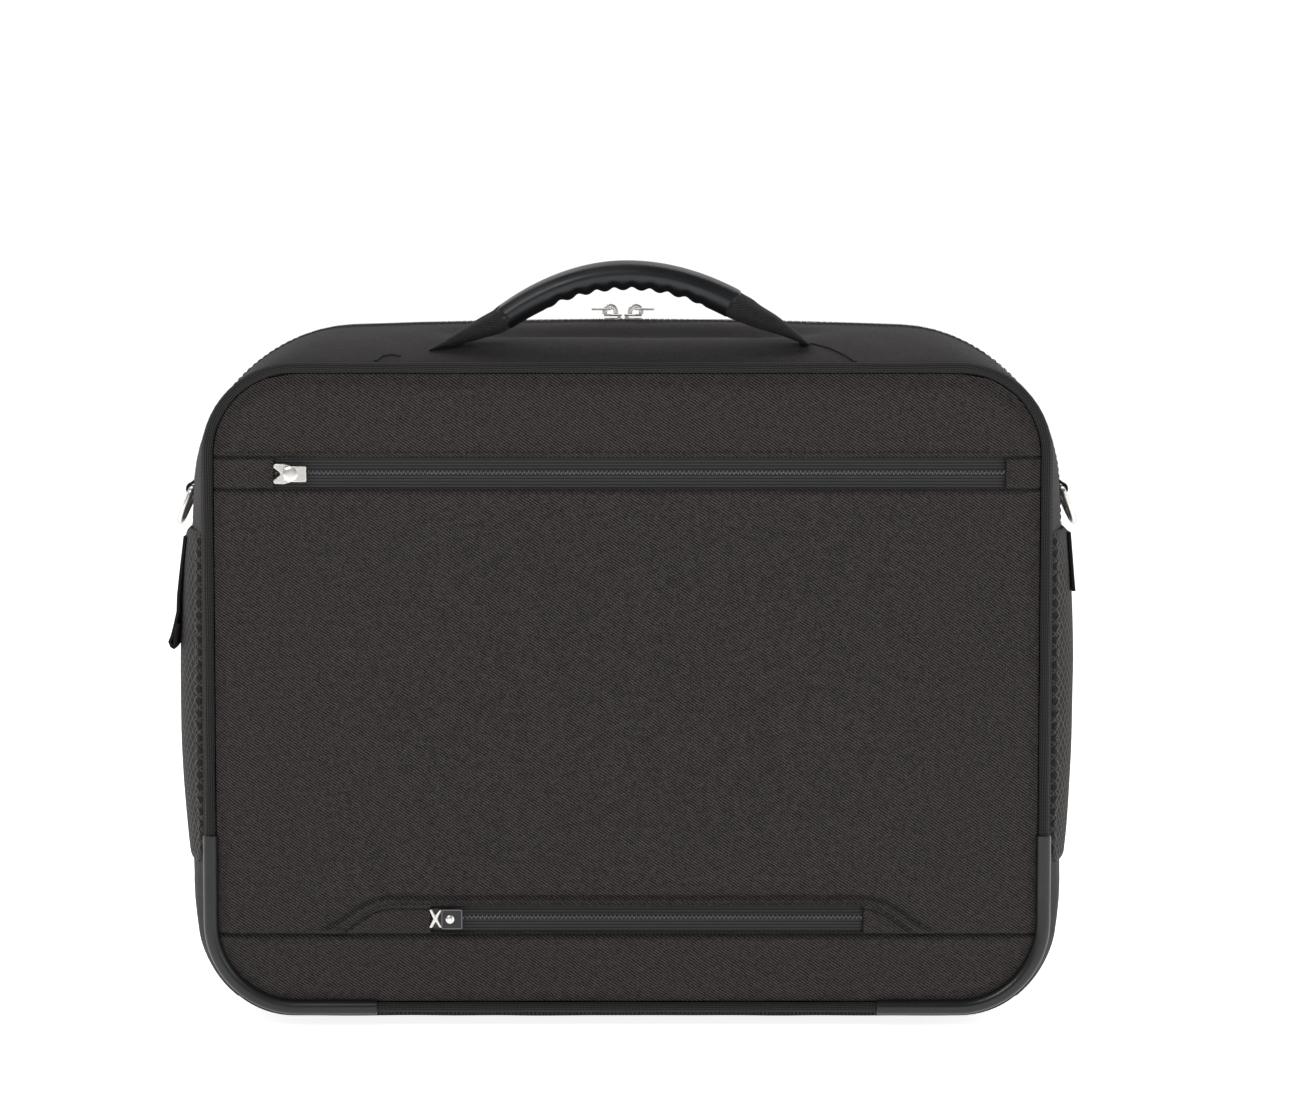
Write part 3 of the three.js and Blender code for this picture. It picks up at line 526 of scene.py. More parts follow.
def carve(obj, *boxes):
    """Cuts boxes ((low corner), (high corner)), in millimetres, out of a closed piece."""
    for low, high in boxes:
        cutter_mesh = bpy.data.meshes.new("cutter")
        shape = bmesh.new()
        bmesh.ops.create_cube(shape, size=1)
        size = [b - a for a, b in zip(low, high)]
        middle = [(a + b) / 2 for a, b in zip(low, high)]
        transform = Matrix.Translation(Vector(middle) * MM) @ Matrix.Diagonal((*[s * MM for s in size], 1))
        bmesh.ops.transform(shape, matrix=transform, verts=shape.verts)
        shape.to_mesh(cutter_mesh)
        shape.free()
        cutter = bpy.data.objects.new("cutter", cutter_mesh)
        bpy.context.scene.collection.objects.link(cutter)
        modifier = obj.modifiers.new("carve", "BOOLEAN")
        modifier.operation = "DIFFERENCE"
        modifier.solver = "EXACT"
        modifier.object = cutter
        bake(obj)
        bpy.data.objects.remove(cutter)
        bpy.data.meshes.remove(cutter_mesh)
    return obj


def frames_along(points, normal, comes_round):
    """For each point of a line lying near one plane: its place, side direction and up direction."""
    last = len(points) - 1
    result = []
    for i, point in enumerate(points):
        before = points[i - 1] if i or comes_round else points[0]
        after = points[(i + 1) % len(points)] if i < last or comes_round else points[last]
        tangent = (after - before).normalized()
        side = tangent.cross(normal).normalized()
        result.append((point, side, side.cross(tangent).normalized()))
    return result


def sweep(name, points, normal, profile, materials, comes_round=False, sharp=50, start=0.0):
    """A solid swept along points. profile(i, share) gives the ring's (side, up) offsets there."""
    rings = frames_along(points, normal, comes_round)
    travelled = [start]
    for a, b in zip(points, points[1:]):
        travelled.append(travelled[-1] + (b - a).length)
    verts, uvs, faces, face_uvs = [], [], [], []
    count = 0
    for i, (point, side, up) in enumerate(rings):
        ring = profile(i, i / (len(points) - 1))
        count = len(ring)
        around = 0.0
        previous = ring[0]
        for a, b in ring:
            around += math.hypot(a - previous[0], b - previous[1])
            previous = (a, b)
            verts.append(point + side * a + up * b)
            uvs.append((travelled[i], around))
    closing = math.hypot(ring[0][0] - ring[-1][0], ring[0][1] - ring[-1][1])
    spans = len(points) if comes_round else len(points) - 1
    for i in range(spans):
        k = (i + 1) % len(points)
        end_u = travelled[k] if k else travelled[-1] + (points[0] - points[-1]).length
        for a in range(count):
            b = (a + 1) % count
            faces.append((i * count + a, k * count + a, k * count + b, i * count + b))
            va, vb = uvs[i * count + a][1], uvs[i * count + b][1]
            vb = vb if b else uvs[i * count + count - 1][1] + closing
            face_uvs.append([(travelled[i], va), (end_u, va), (end_u, vb), (travelled[i], vb)])
    if not comes_round:
        last = (len(points) - 1) * count
        faces.append(tuple(range(count)))
        face_uvs.append([profile(0, 0)[a] for a in range(count)])
        faces.append(tuple(last + a for a in reversed(range(count))))
        face_uvs.append([profile(len(points) - 1, 1)[a] for a in reversed(range(count))])
    return make_mesh(name, verts, faces, face_uvs, materials, sharp=sharp)


def ring_profile(radius_a, radius_b=None, sides=16, power=1.0):
    """An oval, squarer as power falls below 1."""
    radius_b = radius_b or radius_a
    points = []
    for k in range(sides):
        angle = 2 * math.pi * k / sides
        c, s = math.cos(angle), math.sin(angle)
        points.append((radius_a * math.copysign(abs(c) ** power, c),
                       radius_b * math.copysign(abs(s) ** power, s)))
    return points


def flat_profile(width, thickness, corner=0.4):
    """A strap's section, its flat side square to the up direction."""
    a, b = width / 2, thickness / 2
    corner = min(corner, b * 0.9)
    points = []
    for centre_a, centre_b, first in ((a - corner, b - corner, 0), (-a + corner, b - corner, 90),
                                      (-a + corner, -b + corner, 180), (a - corner, -b + corner, 270)):
        for step in range(3):
            angle = math.radians(first + 45 * step)
            points.append((centre_a + corner * math.cos(angle), centre_b + corner * math.sin(angle)))
    return points


def stitches(name, places, body, slot, material=None, radius=0.28):
    """Short raised threads. places holds (start, end, outward direction), in millimetres."""
    verts, faces = [], []
    for start, end, out in places:
        along = (end - start).normalized()
        side = along.cross(out).normalized()
        base = len(verts)
        for share, size in ((0.0, 0.35), (0.25, 1.0), (0.75, 1.0), (1.0, 0.35)):
            middle = start.lerp(end, share) + out * (radius * 0.9 * size - 0.15)
            for a, b in ((1, 0), (0.5, 0.87), (-0.5, 0.87), (-1, 0), (0, -0.6)):
                verts.append(middle + side * a * radius * size + out * b * radius * size)
        for ring in range(3):
            for k in range(5):
                m = (k + 1) % 5
                faces.append((base + ring * 5 + k, base + ring * 5 + m, base + ring * 5 + 5 + m,
                              base + ring * 5 + 5 + k))
        faces.append(tuple(base + k for k in reversed(range(5))))
        faces.append(tuple(base + 15 + k for k in range(5)))
    uvs = [(v[0], v[2]) for v in verts]
    obj = make_mesh(name, verts, faces, uvs, [material or THREAD], sharp=80)
    return finish_piece(obj, body, slot)


STITCH_PITCH = 3.4


def stitch_run(line, out, pitch=STITCH_PITCH, length=2.5):
    """Stitch places along a line of points. out is a direction, or a function of the point."""
    places = []
    lengths = [0.0]
    for a, b in zip(line, line[1:]):
        lengths.append(lengths[-1] + (b - a).length)

    def at(distance):
        for k in range(len(line) - 1):
            if distance <= lengths[k + 1]:
                return line[k].lerp(line[k + 1],
                                    (distance - lengths[k]) / max(lengths[k + 1] - lengths[k], 1e-6))
        return line[-1]

    distance = 0.4
    while distance + length < lengths[-1]:
        start, end = at(distance), at(distance + length)
        places.append((start, end, out(start) if callable(out) else out))
        distance += pitch
    return places


# ---------------------------------------------------------------- the shell's lines

ARC_STEPS, SIDE_STEPS, CORNER_STEPS, TOP_STEPS = 10, 26, 14, 64


def over_line(section, z_start=BASE_SPLIT):
    """From low on the right, up the side, over the top and down the left: (x, z, outward, distance)."""
    half, bottom, top = section["half"], section["bottom"], section["top"]
    r_top, r_low = section["top_radius"], section["bottom_radius"]
    first = -math.asin(clamp01((bottom + r_low - z_start) / r_low))
    right = []
    for angle in steps(first, 0, ARC_STEPS):
        right.append((half - r_low + r_low * math.cos(angle), bottom + r_low + r_low * math.sin(angle)))
    right += [(half, z) for z in steps(bottom + r_low, top - r_top, SIDE_STEPS)[1:]]
    for angle in steps(0, math.pi / 2, CORNER_STEPS)[1:]:
        right.append((half - r_top + r_top * math.cos(angle), top - r_top + r_top * math.sin(angle)))
    points = right + [(x, top) for x in steps(half - r_top, r_top - half, TOP_STEPS)[1:-1]]
    points += [(-x, z) for x, z in reversed(right)]
    padded = []
    for x, z in points:
        bow, arch = padding(section, x, z)
        padded.append(Vector((x + bow, 0, z + arch)))
    distances = [0.0]
    for before, after in zip(padded, padded[1:]):
        distances.append(distances[-1] + (after - before).length)
    line = []
    for k, point in enumerate(padded):
        along = padded[min(k + 1, len(padded) - 1)] - padded[max(k - 1, 0)]
        out = Vector((along.z, 0, -along.x)).normalized()
        line.append((point.x, point.z, out, distances[k] - distances[-1] / 2))
    return line


def over_shell(name, ys, lift, materials, z_start=BASE_SPLIT + 0.3):
    """A sheet over the case at the given y rows. lift(x, y, z, out) moves its points outward."""
    rows, uv_rows = [], []
    for y in ys:
        row, uv_row = [], []
        for x, z, out, s in over_line(section_at(y), z_start):
            row.append(Vector((x, y, z)) + out * lift(x, y, z, out))
            uv_row.append((s, y))
        rows.append(row)
        uv_rows.append(uv_row)
    return grid_piece(name, rows, uv_rows, materials, flip=True)


def top_valley(x, y):
    """The soft fold that the top sinks into behind the handle."""
    window = smooth(-105, -55, x) * (1 - smooth(60, 110, x))
    return -4.8 * bell(-44, 9, y) * window + 0.3 * bell(-60, 8, y) * window


def cloth_ripple(x, y, z, amount=1.0):
    """Slow unevenness of fabric over foam."""
    return amount * (0.55 * fabric_noise(x, y, z, 46) + 0.25 * fabric_noise(x + 300, y, z, 19))


# ---------------------------------------------------------------- gussets, bottom and main zip

HOUSING_CUTS = [
    ((sign * WHEEL_X - 15.8, 35.7, -50), (sign * WHEEL_X + 15.8, 120, 62.3)) for sign in (-1, 1)
]
BEZEL_CUT = ((-92.3, 63.7, 290), (92.3, 120, 400))


def build_gussets():
    """The fabric shells in front of and behind the main zip."""
    def front_lift(x, y, z, out):
        tuck = -4.2 * (1 - smooth(-90.6, -86.4, y))
        rolled = 0.9 * bell(-18.6, 1.6, y) - 1.2 * smooth(-17.6, -16.4, y)
        belly = 2.8 * bell(62, 26, z) * abs(out.x) * smooth(-90, -72, y)
        return tuck + rolled + belly + out.z * top_valley(x, y) + cloth_ripple(x, y, z) * smooth(-88, -78, y)

    ys = [-90.4, -89.6, -88.6, -87.4, -86.2, -84] + steps(-81, -24, 19)
    ys += [-21.5, -20.2, -19.4, -18.6, -17.8, -17.1, -16.4]
    gusset = over_shell("front_gusset_fabric", ys, front_lift, [TWILL_SOFT, LINING])
    thicken(gusset, 3.4, inner_material=1)
    finish_piece(gusset, "front_section", "twill", "front_gusset")

    def rear_lift(x, y, z, out):
        tuck = -2.6 * smooth(86.4, 90.0, y)
        rolled = 0.9 * bell(-1.4, 1.6, y) - 1.2 * (1 - smooth(-3.6, -2.4, y))
        return tuck + rolled + cloth_ripple(x, y, z) * (1 - smooth(76, 86, y))

    ys = [-3.6, -2.9, -2.2, -1.4, -0.6, 0.2, 1.5] + steps(4, 82, 24) + [84.5, 86.4, 87.5, 88.6, 89.6]
    gusset = over_shell("rear_gusset_fabric", ys, rear_lift, [TWILL_SOFT, LINING])
    bake(thicken(gusset, 3.6, inner_material=1))
    carve(gusset, BEZEL_CUT, *HOUSING_CUTS)
    finish_piece(gusset, "case", "twill", "rear_gusset")


def build_bottom():
    """The bottom fabric, which turns up a little at both sides."""
    rows, uv_rows = [], []
    for y in [-85.8] + steps(-84, 84, 40) + [86, 87.8]:
        section = section_at(y)
        corner = section["bottom_radius"]
        centre_x, centre_z = section["half"] - corner, section["bottom"] + corner
        reach = math.asin(clamp01((centre_z - BASE_SPLIT) / corner))
        turns = steps(-reach, -math.pi / 2, 8)
        right = [(centre_x + corner * math.cos(a), centre_z + corner * math.sin(a)) for a in turns]
        flat = [(x, section["bottom"]) for x in steps(centre_x, -centre_x, 50)[1:-1]]
        line = right + flat + [(-x, z) for x, z in reversed(right)]
        row = [Vector((x, y, z + 0.3 + 0.25 * fabric_noise(x, y, z, 30))) for x, z in line]
        rows.append(row)
        uv_rows.append([(p.x, y) for p in row])
    bottom = grid_piece("bottom_fabric", rows, uv_rows, [TWILL_SOFT, LINING], flip=False)
    bake(thicken(bottom, 3.4, inner_material=1))
    carve(bottom, *HOUSING_CUTS)
    finish_piece(bottom, "case", "twill", "bottom_panel")


def zip_line(y, rise, section=None, z_start=BASE_SPLIT + 1.0):
    """Points along the crown at a given height over it."""
    return [(Vector((x, y, z)) + out * rise, out) for x, z, out,
            _ in over_line(section or section_at(y), z_start)]


def resample(line, pitch):
    """Evenly spaced (point, outward) pairs along a line of them."""
    result = [line[0]]
    carried = 0.0
    for (a, out_a), (b, out_b) in zip(line, line[1:]):
        length = (b - a).length
        distance = pitch - carried
        while distance <= length:
            share = distance / length
            result.append((a.lerp(b, share), out_a.lerp(out_b, share).normalized()))
            distance += pitch
        carried = (carried + length) % pitch
    return result


def coil_teeth(name, line, width_direction, body, nodes=(), pitch=1.35, half_width=1.9, height=1.1, gap=0.25):
    """The two meshed rows of a zip: bent bars that lie across the line by turns."""
    verts, faces = [], []
    for k, (point, out) in enumerate(line):
        following = line[min(k + 1, len(line) - 1)][0]
        along = (following - point).normalized() if k + 1 < len(line) else (point - line[k - 1][0]).normalized()
        across = width_direction if isinstance(width_direction, Vector) else out.cross(along)
        hand = 1 if k % 2 else -1
        base = len(verts)
        outline = [(-0.35, 0.35), (0.15, 0.95), (0.8, 0.8), (1.0, 0.25)]
        for share, rise in outline:
            centre = point + across * hand * share * half_width + out * rise * height
            half = (pitch - gap) / 2
            for a, b in ((-half, 0), (0, 0.42), (half, 0), (0, -0.42)):
                verts.append(centre + along * a + out * b)
        for ring in range(len(outline) - 1):
            for m in range(4):
                n = (m + 1) % 4
                at = base + ring * 4
                quad = (at + m, at + n, at + 4 + n, at + 4 + m)
                faces.append(quad if hand > 0 else quad[::-1])
        end = base + (len(outline) - 1) * 4
        caps = [tuple(base + m for m in (3, 2, 1, 0)), tuple(end + m for m in (0, 1, 2, 3))]
        faces.extend(caps if hand > 0 else [cap[::-1] for cap in caps])
    obj = make_mesh(name, verts, faces, [(v[0], v[2]) for v in verts], [COIL], sharp=60)
    return finish_piece(obj, body, "zip_coil", *nodes)


def build_main_zip():
    """The main zip: its tape, its meshed teeth and the stitching along both edges."""
    ys = [-16.2, -15.6, -13.5, -11.9, -11.2, -8.8, -8.1, -6.5, -4.4, -3.8]

    def tape_lift(x, y, z, out):
        return -1.3 + 0.5 * bell(ZIP_Y, 2.4, y)

    tape = over_shell("main_zip_tape_cloth", ys, tape_lift, [TAPE, LINING], BASE_SPLIT + 0.6)
    thicken(tape, 1.0, inner_material=1)
    finish_piece(tape, "case", "zip_tape", "main_zip_tape")
    line = resample(zip_line(ZIP_Y, -0.6), 1.45)
    coil_teeth("main_zip_teeth", line, Vector((0, 1, 0)), "case", ("main_zip_coil",), pitch=1.45,
               half_width=2.4, height=1.5)

    for y in (-20.6, -0.2):
        body = "front_section" if y < ZIP_Y else "case"
        places = []
        pairs = resample(zip_line(y, 0.75, z_start=BASE_SPLIT + 2), STITCH_PITCH)
        for (a, out), (b, _) in zip(pairs, pairs[1:]):
            places.append((a.lerp(b, 0.1), a.lerp(b, 0.85), out))
        stitches(f"main_zip_stitching_{body}", places, body, "twill")


# ---------------------------------------------------------------- front panel


def rounded_half_width(section, z):
    """Half the width of a rounded rectangle at height z."""
    half, bottom, top = section["half"], section["bottom"], section["top"]
    for centre, radius, beyond in (
        (top - section["top_radius"], section["top_radius"], z > top - section["top_radius"]),
        (bottom + section["bottom_radius"], section["bottom_radius"], z < bottom + section["bottom_radius"]),
    ):
        if beyond:
            return half - radius + math.sqrt(max(0, radius ** 2 - (z - centre) ** 2))
    return half


def inset_section(section, inset):
    return {
        "half": section["half"] - inset,
        "bottom": section["bottom"] + inset,
        "top": section["top"] - inset,
        "top_radius": section["top_radius"] - inset,
        "bottom_radius": section["bottom_radius"] - inset,
    }


def edge_distance(section, x, z):
    """How far inside a rounded rectangle a point lies."""
    radius = section["top_radius"] if z > (section["top"] + section["bottom"]) / 2 else section["bottom_radius"]
    middle = (section["top"] + section["bottom"]) / 2
    tall = (section["top"] - section["bottom"]) / 2
    dx = abs(x) - (section["half"] - radius)
    dz = abs(z - middle) - (tall - radius)
    outside = math.hypot(max(dx, 0), max(dz, 0))
    return radius - outside - min(max(dx, dz), 0)


FLAP_HALF, FLAP_TOP_HALF, FLAP_LOW, FLAP_TOP = 146.0, 119.0, 46.4, 61.6


def flap_line():
    """The lower flap's curved outline, from its left foot over the top to its right foot."""
    def curve(t):
        p = [(FLAP_HALF, FLAP_LOW), (FLAP_HALF - 13, FLAP_LOW + 5.5), (FLAP_TOP_HALF + 9, FLAP_TOP - 0.6),
             (FLAP_TOP_HALF - 4, FLAP_TOP)]
        w = [(1 - t) ** 3, 3 * t * (1 - t) ** 2, 3 * t * t * (1 - t), t ** 3]
        return sum(a * q[0] for a, q in zip(w, p)), sum(a * q[1] for a, q in zip(w, p))
    right = [curve(t) for t in steps(0, 1, 16)]
    top = [(x, FLAP_TOP) for x in steps(FLAP_TOP_HALF - 4, -FLAP_TOP_HALF + 4, 50)[1:]]
    left = [(-x, z) for x, z in reversed(right[:-1])]
    return list(reversed(right + top + left))


def line_distance(line, x, z):
    best = 1e9
    for (ax, az), (bx, bz) in zip(line, line[1:]):
        if min(ax, bx) - 8 > x or max(ax, bx) + 8 < x:
            continue
        length = (bx - ax) ** 2 + (bz - az) ** 2
        t = clamp01(((x - ax) * (bx - ax) + (z - az) * (bz - az)) / max(length, 1e-9))
        best = min(best, math.hypot(x - ax - t * (bx - ax), z - az - t * (bz - az)))
    return best


def inside_box(zip_data, x, z):
    """1 well inside a zip's opening, 0 outside, over a short slope."""
    slope = 0.5
    along = smooth(zip_data["x0"] - slope, zip_data["x0"],
                   x) * (1 - smooth(zip_data["x1"], zip_data["x1"] + slope, x))
    up = smooth(zip_data["z0"] - slope, zip_data["z0"],
                z) * (1 - smooth(zip_data["z1"], zip_data["z1"] + slope, z))
    return along * up


def feature_stops(low, high, gap, edges):
    """Values from low to high about gap apart, closer together at each edge."""
    stops = set(steps(low, high, round((high - low) / gap)))
    for edge in edges:
        stops |= {edge - 2.4, edge - 1.6, edge - 1.0, edge - 0.5, edge - 0.25, edge, edge + 0.5, edge + 1.0,
                  edge + 1.8}
    ordered = sorted(s for s in stops if low <= s <= high)
    kept = [ordered[0]]
    for value in ordered[1:]:
        if value - kept[-1] > 0.2:
            kept.append(value)
    return kept


PANEL = inset_section(FRAME_LINE, PANEL_INSET)
SEAM_LOW = 46.0
UPPER_SEAMS = (UPPER_ZIP["z1"] + 0.6, UPPER_ZIP["z0"] - 0.6)
RECESS = 1.9


def panel_height(x, z, flap):
    """How far the front panel's fabric stands forward of its seam."""
    edge = edge_distance(PANEL, x, z)
    height = 2.4 * smooth(0, 7.5, edge) + 1.4 * smooth(10, 120, edge)
    height += 0.35 * fabric_noise(x, 5, z, 60) + 0.12 * fabric_noise(x, 9, z, 17)
    for seam in UPPER_SEAMS:
        height -= 2.3 * bell(seam, 0.85, z)
        height += 0.5 * bell(seam, 3.0, z)
    height -= 2.4 * bell(SEAM_LOW - 0.4, 0.8, z)
    height += 0.6 * bell(SEAM_LOW - 3.4, 2.6, z)
    if FLAP_LOW - 6 < z < FLAP_TOP + 9:
        distance = line_distance(flap, x, z)
        above_seam = smooth(FLAP_LOW - 0.6, FLAP_LOW + 0.8, z)
        height += 1.5 * (1 - smooth(1.7, 2.5, distance)) * above_seam
        height -= 0.5 * bell(0, 0.5, distance) * above_seam
        height -= 0.9 * bell(3.0, 0.5, distance) * above_seam
    height -= (RECESS + 0.6) * inside_box(UPPER_ZIP, x, z)
    height -= (RECESS + 0.6) * inside_box(LOWER_ZIP, x, z)
    return height


def build_front_panel():
    """The front panel with its two pockets pressed into one height field."""
    flap = flap_line()
    fixed = 142.0
    xs = feature_stops(-fixed, fixed, 3.0, (LOWER_ZIP["x0"], LOWER_ZIP["x1"]))
    outer = feature_stops(fixed + 1.5, PANEL["half"], 2.0, (-UPPER_ZIP["x0"], UPPER_ZIP["x1"]))
    slope = steps(FLAP_TOP_HALF - 8, 142, 30)
    xs = sorted({round(x, 2) for x in xs + slope + [-x for x in slope] if abs(x) <= 142})
    columns = [-x for x in reversed(outer)] + xs + outer
    zs = set(feature_stops(PANEL["bottom"], PANEL["top"], 2.6,
                           (UPPER_ZIP["z0"], UPPER_ZIP["z1"], LOWER_ZIP["z0"], LOWER_ZIP["z1"], SEAM_LOW)))
    zs = sorted(zs | set(steps(FLAP_LOW + 2, FLAP_TOP + 5, 26)))
    rows, uv_rows = [], []
    for z in zs:
        width = rounded_half_width(PANEL, z)
        row, uv_row = [], []
        for column in columns:
            x = column
            if abs(column) > fixed:
                share = (abs(column) - fixed) / (PANEL["half"] - fixed)
                x = math.copysign(fixed + share * (width - fixed), column)
            row.append(Vector((x, -92.0 - panel_height(x, z, flap), z)))
            uv_row.append((x, z))
        rows.append(row)
        uv_rows.append(uv_row)
    panel = grid_piece("front_panel_fabric", rows, uv_rows, [TWILL, LINING])
    close_back(panel, -88.6)
    finish_piece(panel, "front_section", "twill", "front_panel", "upper_pocket_welt", "lower_pocket_flap")

    build_panel_stitching(flap)
    build_pocket_zip("upper", UPPER_ZIP)
    build_pocket_zip("lower", LOWER_ZIP)


def close_back(obj, y, material=1):
    """Closes an open sheet with a rim back to a flat face at y."""
    shape = bmesh.new()
    shape.from_mesh(obj.data)
    rim = [e for e in shape.edges if e.is_boundary]
    made = bmesh.ops.extrude_edge_only(shape, edges=rim)["geom"]
    moved = [g for g in made if isinstance(g, bmesh.types.BMVert)]
    for vert in moved:
        vert.co.y = y * MM
    rim = [g for g in made if isinstance(g, bmesh.types.BMEdge) and g.is_boundary]
    filled = bmesh.ops.triangle_fill(shape, edges=rim, use_beauty=True)["geom"]
    layer = shape.loops.layers.uv.active
    for face in (g for g in filled if isinstance(g, bmesh.types.BMFace)):
        face.material_index = material
        for loop in face.loops:
            loop[layer].uv = (loop.vert.co.x / MM, loop.vert.co.z / MM)
    bmesh.ops.recalc_face_normals(shape, faces=shape.faces)
    shape.to_mesh(obj.data)
    shape.free()
    obj.data.set_sharp_from_angle(angle=math.radians(50))


def build_panel_stitching(flap):
    """The rows of stitching on the front panel."""
    forward = Vector((0, -1, 0))

    def on_panel(x, z):
        return Vector((x, -92.0 - panel_height(x, z, flap), z))

    def run(points):
        return stitch_run([on_panel(x, z) for x, z in points], forward)

    places = []
    for z in (UPPER_SEAMS[0] + 2.2, UPPER_SEAMS[1] - 2.2):
        places += run([(x, z) for x in steps(-195, 195, 60)])
    places += run([(x, SEAM_LOW - 2.4) for x in steps(-190, 190, 60)])
    inner = [(x * 0.985, z - 0.9) for x, z in flap if z > FLAP_LOW + 2]
    outer = [(x * 1.008, z + 1.0) for x, z in flap if z > FLAP_LOW + 1]
    places += run(inner) + run(outer)
    for x in (UPPER_ZIP["x0"] - 2.2, UPPER_ZIP["x1"] + 2.2):
        places += run([(x, z) for z in steps(UPPER_ZIP["z0"], UPPER_ZIP["z1"], 8)])
    stitches("front_panel_stitching", places, "front_section", "twill")


POCKET_FLOOR_Y = -93.0


def build_pocket_zip(name, data):
    """One pocket zip: a tape sunk into the panel and the teeth along it."""
    floor_y = POCKET_FLOOR_Y
    tape_rows, tape_uvs = [], []
    for z in steps(data["z0"] - 0.4, data["z1"] + 0.4, 12):
        row = []
        for x in steps(data["x0"] - 0.4, data["x1"] + 0.4, 60):
            lift = 0.5 * bell(data["teeth"], 2.4, z) + 0.1 * fabric_noise(x, 3, z, 14)
            row.append(Vector((x, floor_y - lift, z)))
        tape_rows.append(row)
        tape_uvs.append([(p.x, p.z) for p in row])
    tape = grid_piece(f"{name}_zip_cloth", tape_rows, tape_uvs, [TAPE])
    thicken(tape, 0.6, offset=-1)
    finish_piece(tape, "front_section", "zip_tape", f"{name}_zip")
    pitch = 1.05
    count = round((data["x1"] - data["x0"]) / pitch)
    xs = steps(data["x0"] + 1, data["x1"] - 1, count)
    line = [(Vector((x, floor_y - 0.5, data["teeth"])), Vector((0, -1, 0))) for x in xs]
    coil_teeth(f"{name}_zip_teeth", line, Vector((0, 0, 1)), "front_section", pitch=pitch, half_width=0.95,
               height=0.8)


# ---------------------------------------------------------------- piping and corner guards


def frame_line_points(section, y, corner_steps=20):
    """A full round of a rounded rectangle, anticlockwise from the lower right corner's foot."""
    points = []
    for sign_x, at_top, first in ((1, False, -90), (1, True, 0), (-1, True, 90), (-1, False, 180)):
        radius = section["top_radius"] if at_top else section["bottom_radius"]
        centre_x = sign_x * (section["half"] - radius)
        centre_z = section["top"] - radius if at_top else section["bottom"] + radius
        for step in range(corner_steps + 1):
            angle = math.radians(first + 90 * step / corner_steps)
            points.append(Vector((centre_x + radius * math.cos(angle), y,
                                  centre_z + radius * math.sin(angle))))
    dense = []
    for a, b in zip(points, points[1:] + points[:1]):
        count = max(1, round((b - a).length / 9))
        dense += [a.lerp(b, k / count) for k in range(count)]
    return dense


PIPING_RADIUS = 2.5
REAR_PIPING_END_Z = 66.0
GUARD_END_X, GUARD_END_Z = 122.0, 94.4


def build_piping():
    """The piping round the front and back panels, and the two guards on its lower corners."""
    def cord(i, share):
        return ring_profile(PIPING_RADIUS * (1 + 0.02 * math.sin(i * 0.9)), sides=16)

    front = sweep("front_piping_cloth", frame_line_points(FRAME_LINE, FRAME_Y), Vector((0, 1, 0)), cord,
                  [PIPING], comes_round=True)
    finish_piece(front, "front_section", "piping", "front_piping")

    back_section = inset_section(BACK_SECTION, 1.2)
    whole = frame_line_points(back_section, BACK_Y + 3.2)
    upper = [p for p in whole if p.z > REAR_PIPING_END_Z]
    start = next(k for k in range(len(upper)) if upper[k].x > 0 and upper[k - 1].x < 0)
    line = upper[start:] + upper[:start]
    ends = [Vector((p.x, p.y, REAR_PIPING_END_Z)) for p in (line[0], line[-1])]
    line = [ends[0]] + line + [ends[1]]
    back = sweep("rear_piping_cloth", line, Vector((0, 1, 0)), cord, [PIPING])
    finish_piece(back, "case", "piping", "rear_piping")

    # Guards: a rubber channel pressed over the piping, thicker along its outer face.
    bend = frame_line_points(FRAME_LINE, FRAME_Y, 28)
    corner = [p for p in bend if p.x > GUARD_END_X and p.z < GUARD_END_Z]
    corner.sort(key=lambda p: p.x + p.z)
    foot = Vector((GUARD_END_X, FRAME_Y, FRAME_LINE["bottom"]))
    head = Vector((FRAME_LINE["half"], FRAME_Y, GUARD_END_Z))
    line = [foot] + corner + [head]

    def channel(i, share):
        return ring_profile(3.65, 3.75, sides=24, power=0.9)

    for side, sign in (("right", 1), ("left", -1)):
        points = [Vector((p.x * sign, p.y, p.z)) for p in line]
        guard = sweep(f"corner_guard_{side}_rubber", points, Vector((0, 1, 0)), channel, [GUARD])
        flip_faces(guard)
        round_edges(guard, 0.5, segments=2, angle=60)
        finish_piece(guard, "front_section", "guard_rubber", f"corner_guard_{side}")


def flip_faces(obj):
    """Recalculates the normals so that every face looks outward."""
    shape = bmesh.new()
    shape.from_mesh(obj.data)
    bmesh.ops.recalc_face_normals(shape, faces=shape.faces)
    shape.to_mesh(obj.data)
    shape.free()


# ---------------------------------------------------------------- side panels

DIAMOND = 6.0
SIDE_BULGE = 5.5
SIDE_BOTTOM = 78.0
SIDES = {"front": (-86.0, -17.4, 242.0, "front_section"), "rear": (-2.6, 83.6, 234.0, "case")}


def side_point(y0, y1, top, y, z, sign):
    """A point on a padded side panel, proud of the side of the case."""
    along = (y - y0) / (y1 - y0)
    up = (z - SIDE_BOTTOM) / (top - SIDE_BOTTOM)
    fullness = math.sin(math.pi * lerp(0.03, 0.97, clamp01(up))) ** 0.25
    swell = max(0.0, math.sin(math.pi * clamp01(along))) ** 0.6
    section = section_at(y)
    base = section["half"] + padding(section, section["half"], z)[0]
    edge = min((y - y0), (y1 - y), (z - SIDE_BOTTOM), (top - z))
    x = base + 0.4 + SIDE_BULGE * fullness * swell + 0.4 * fabric_noise(y, z, sign * 40, 30)
    a = (y + z) / DIAMOND
    b = (y - z) / DIAMOND
    pyramid = 1 - max(abs((a % 1) - 0.5), abs((b % 1) - 0.5)) * 2
    relief = -0.7 * smooth(0.3, 1, pyramid) * smooth(2.5, 6.5, edge) - 1.6 * (1 - smooth(0, 2.2, edge))
    return Vector((sign * (x + relief), y, z))


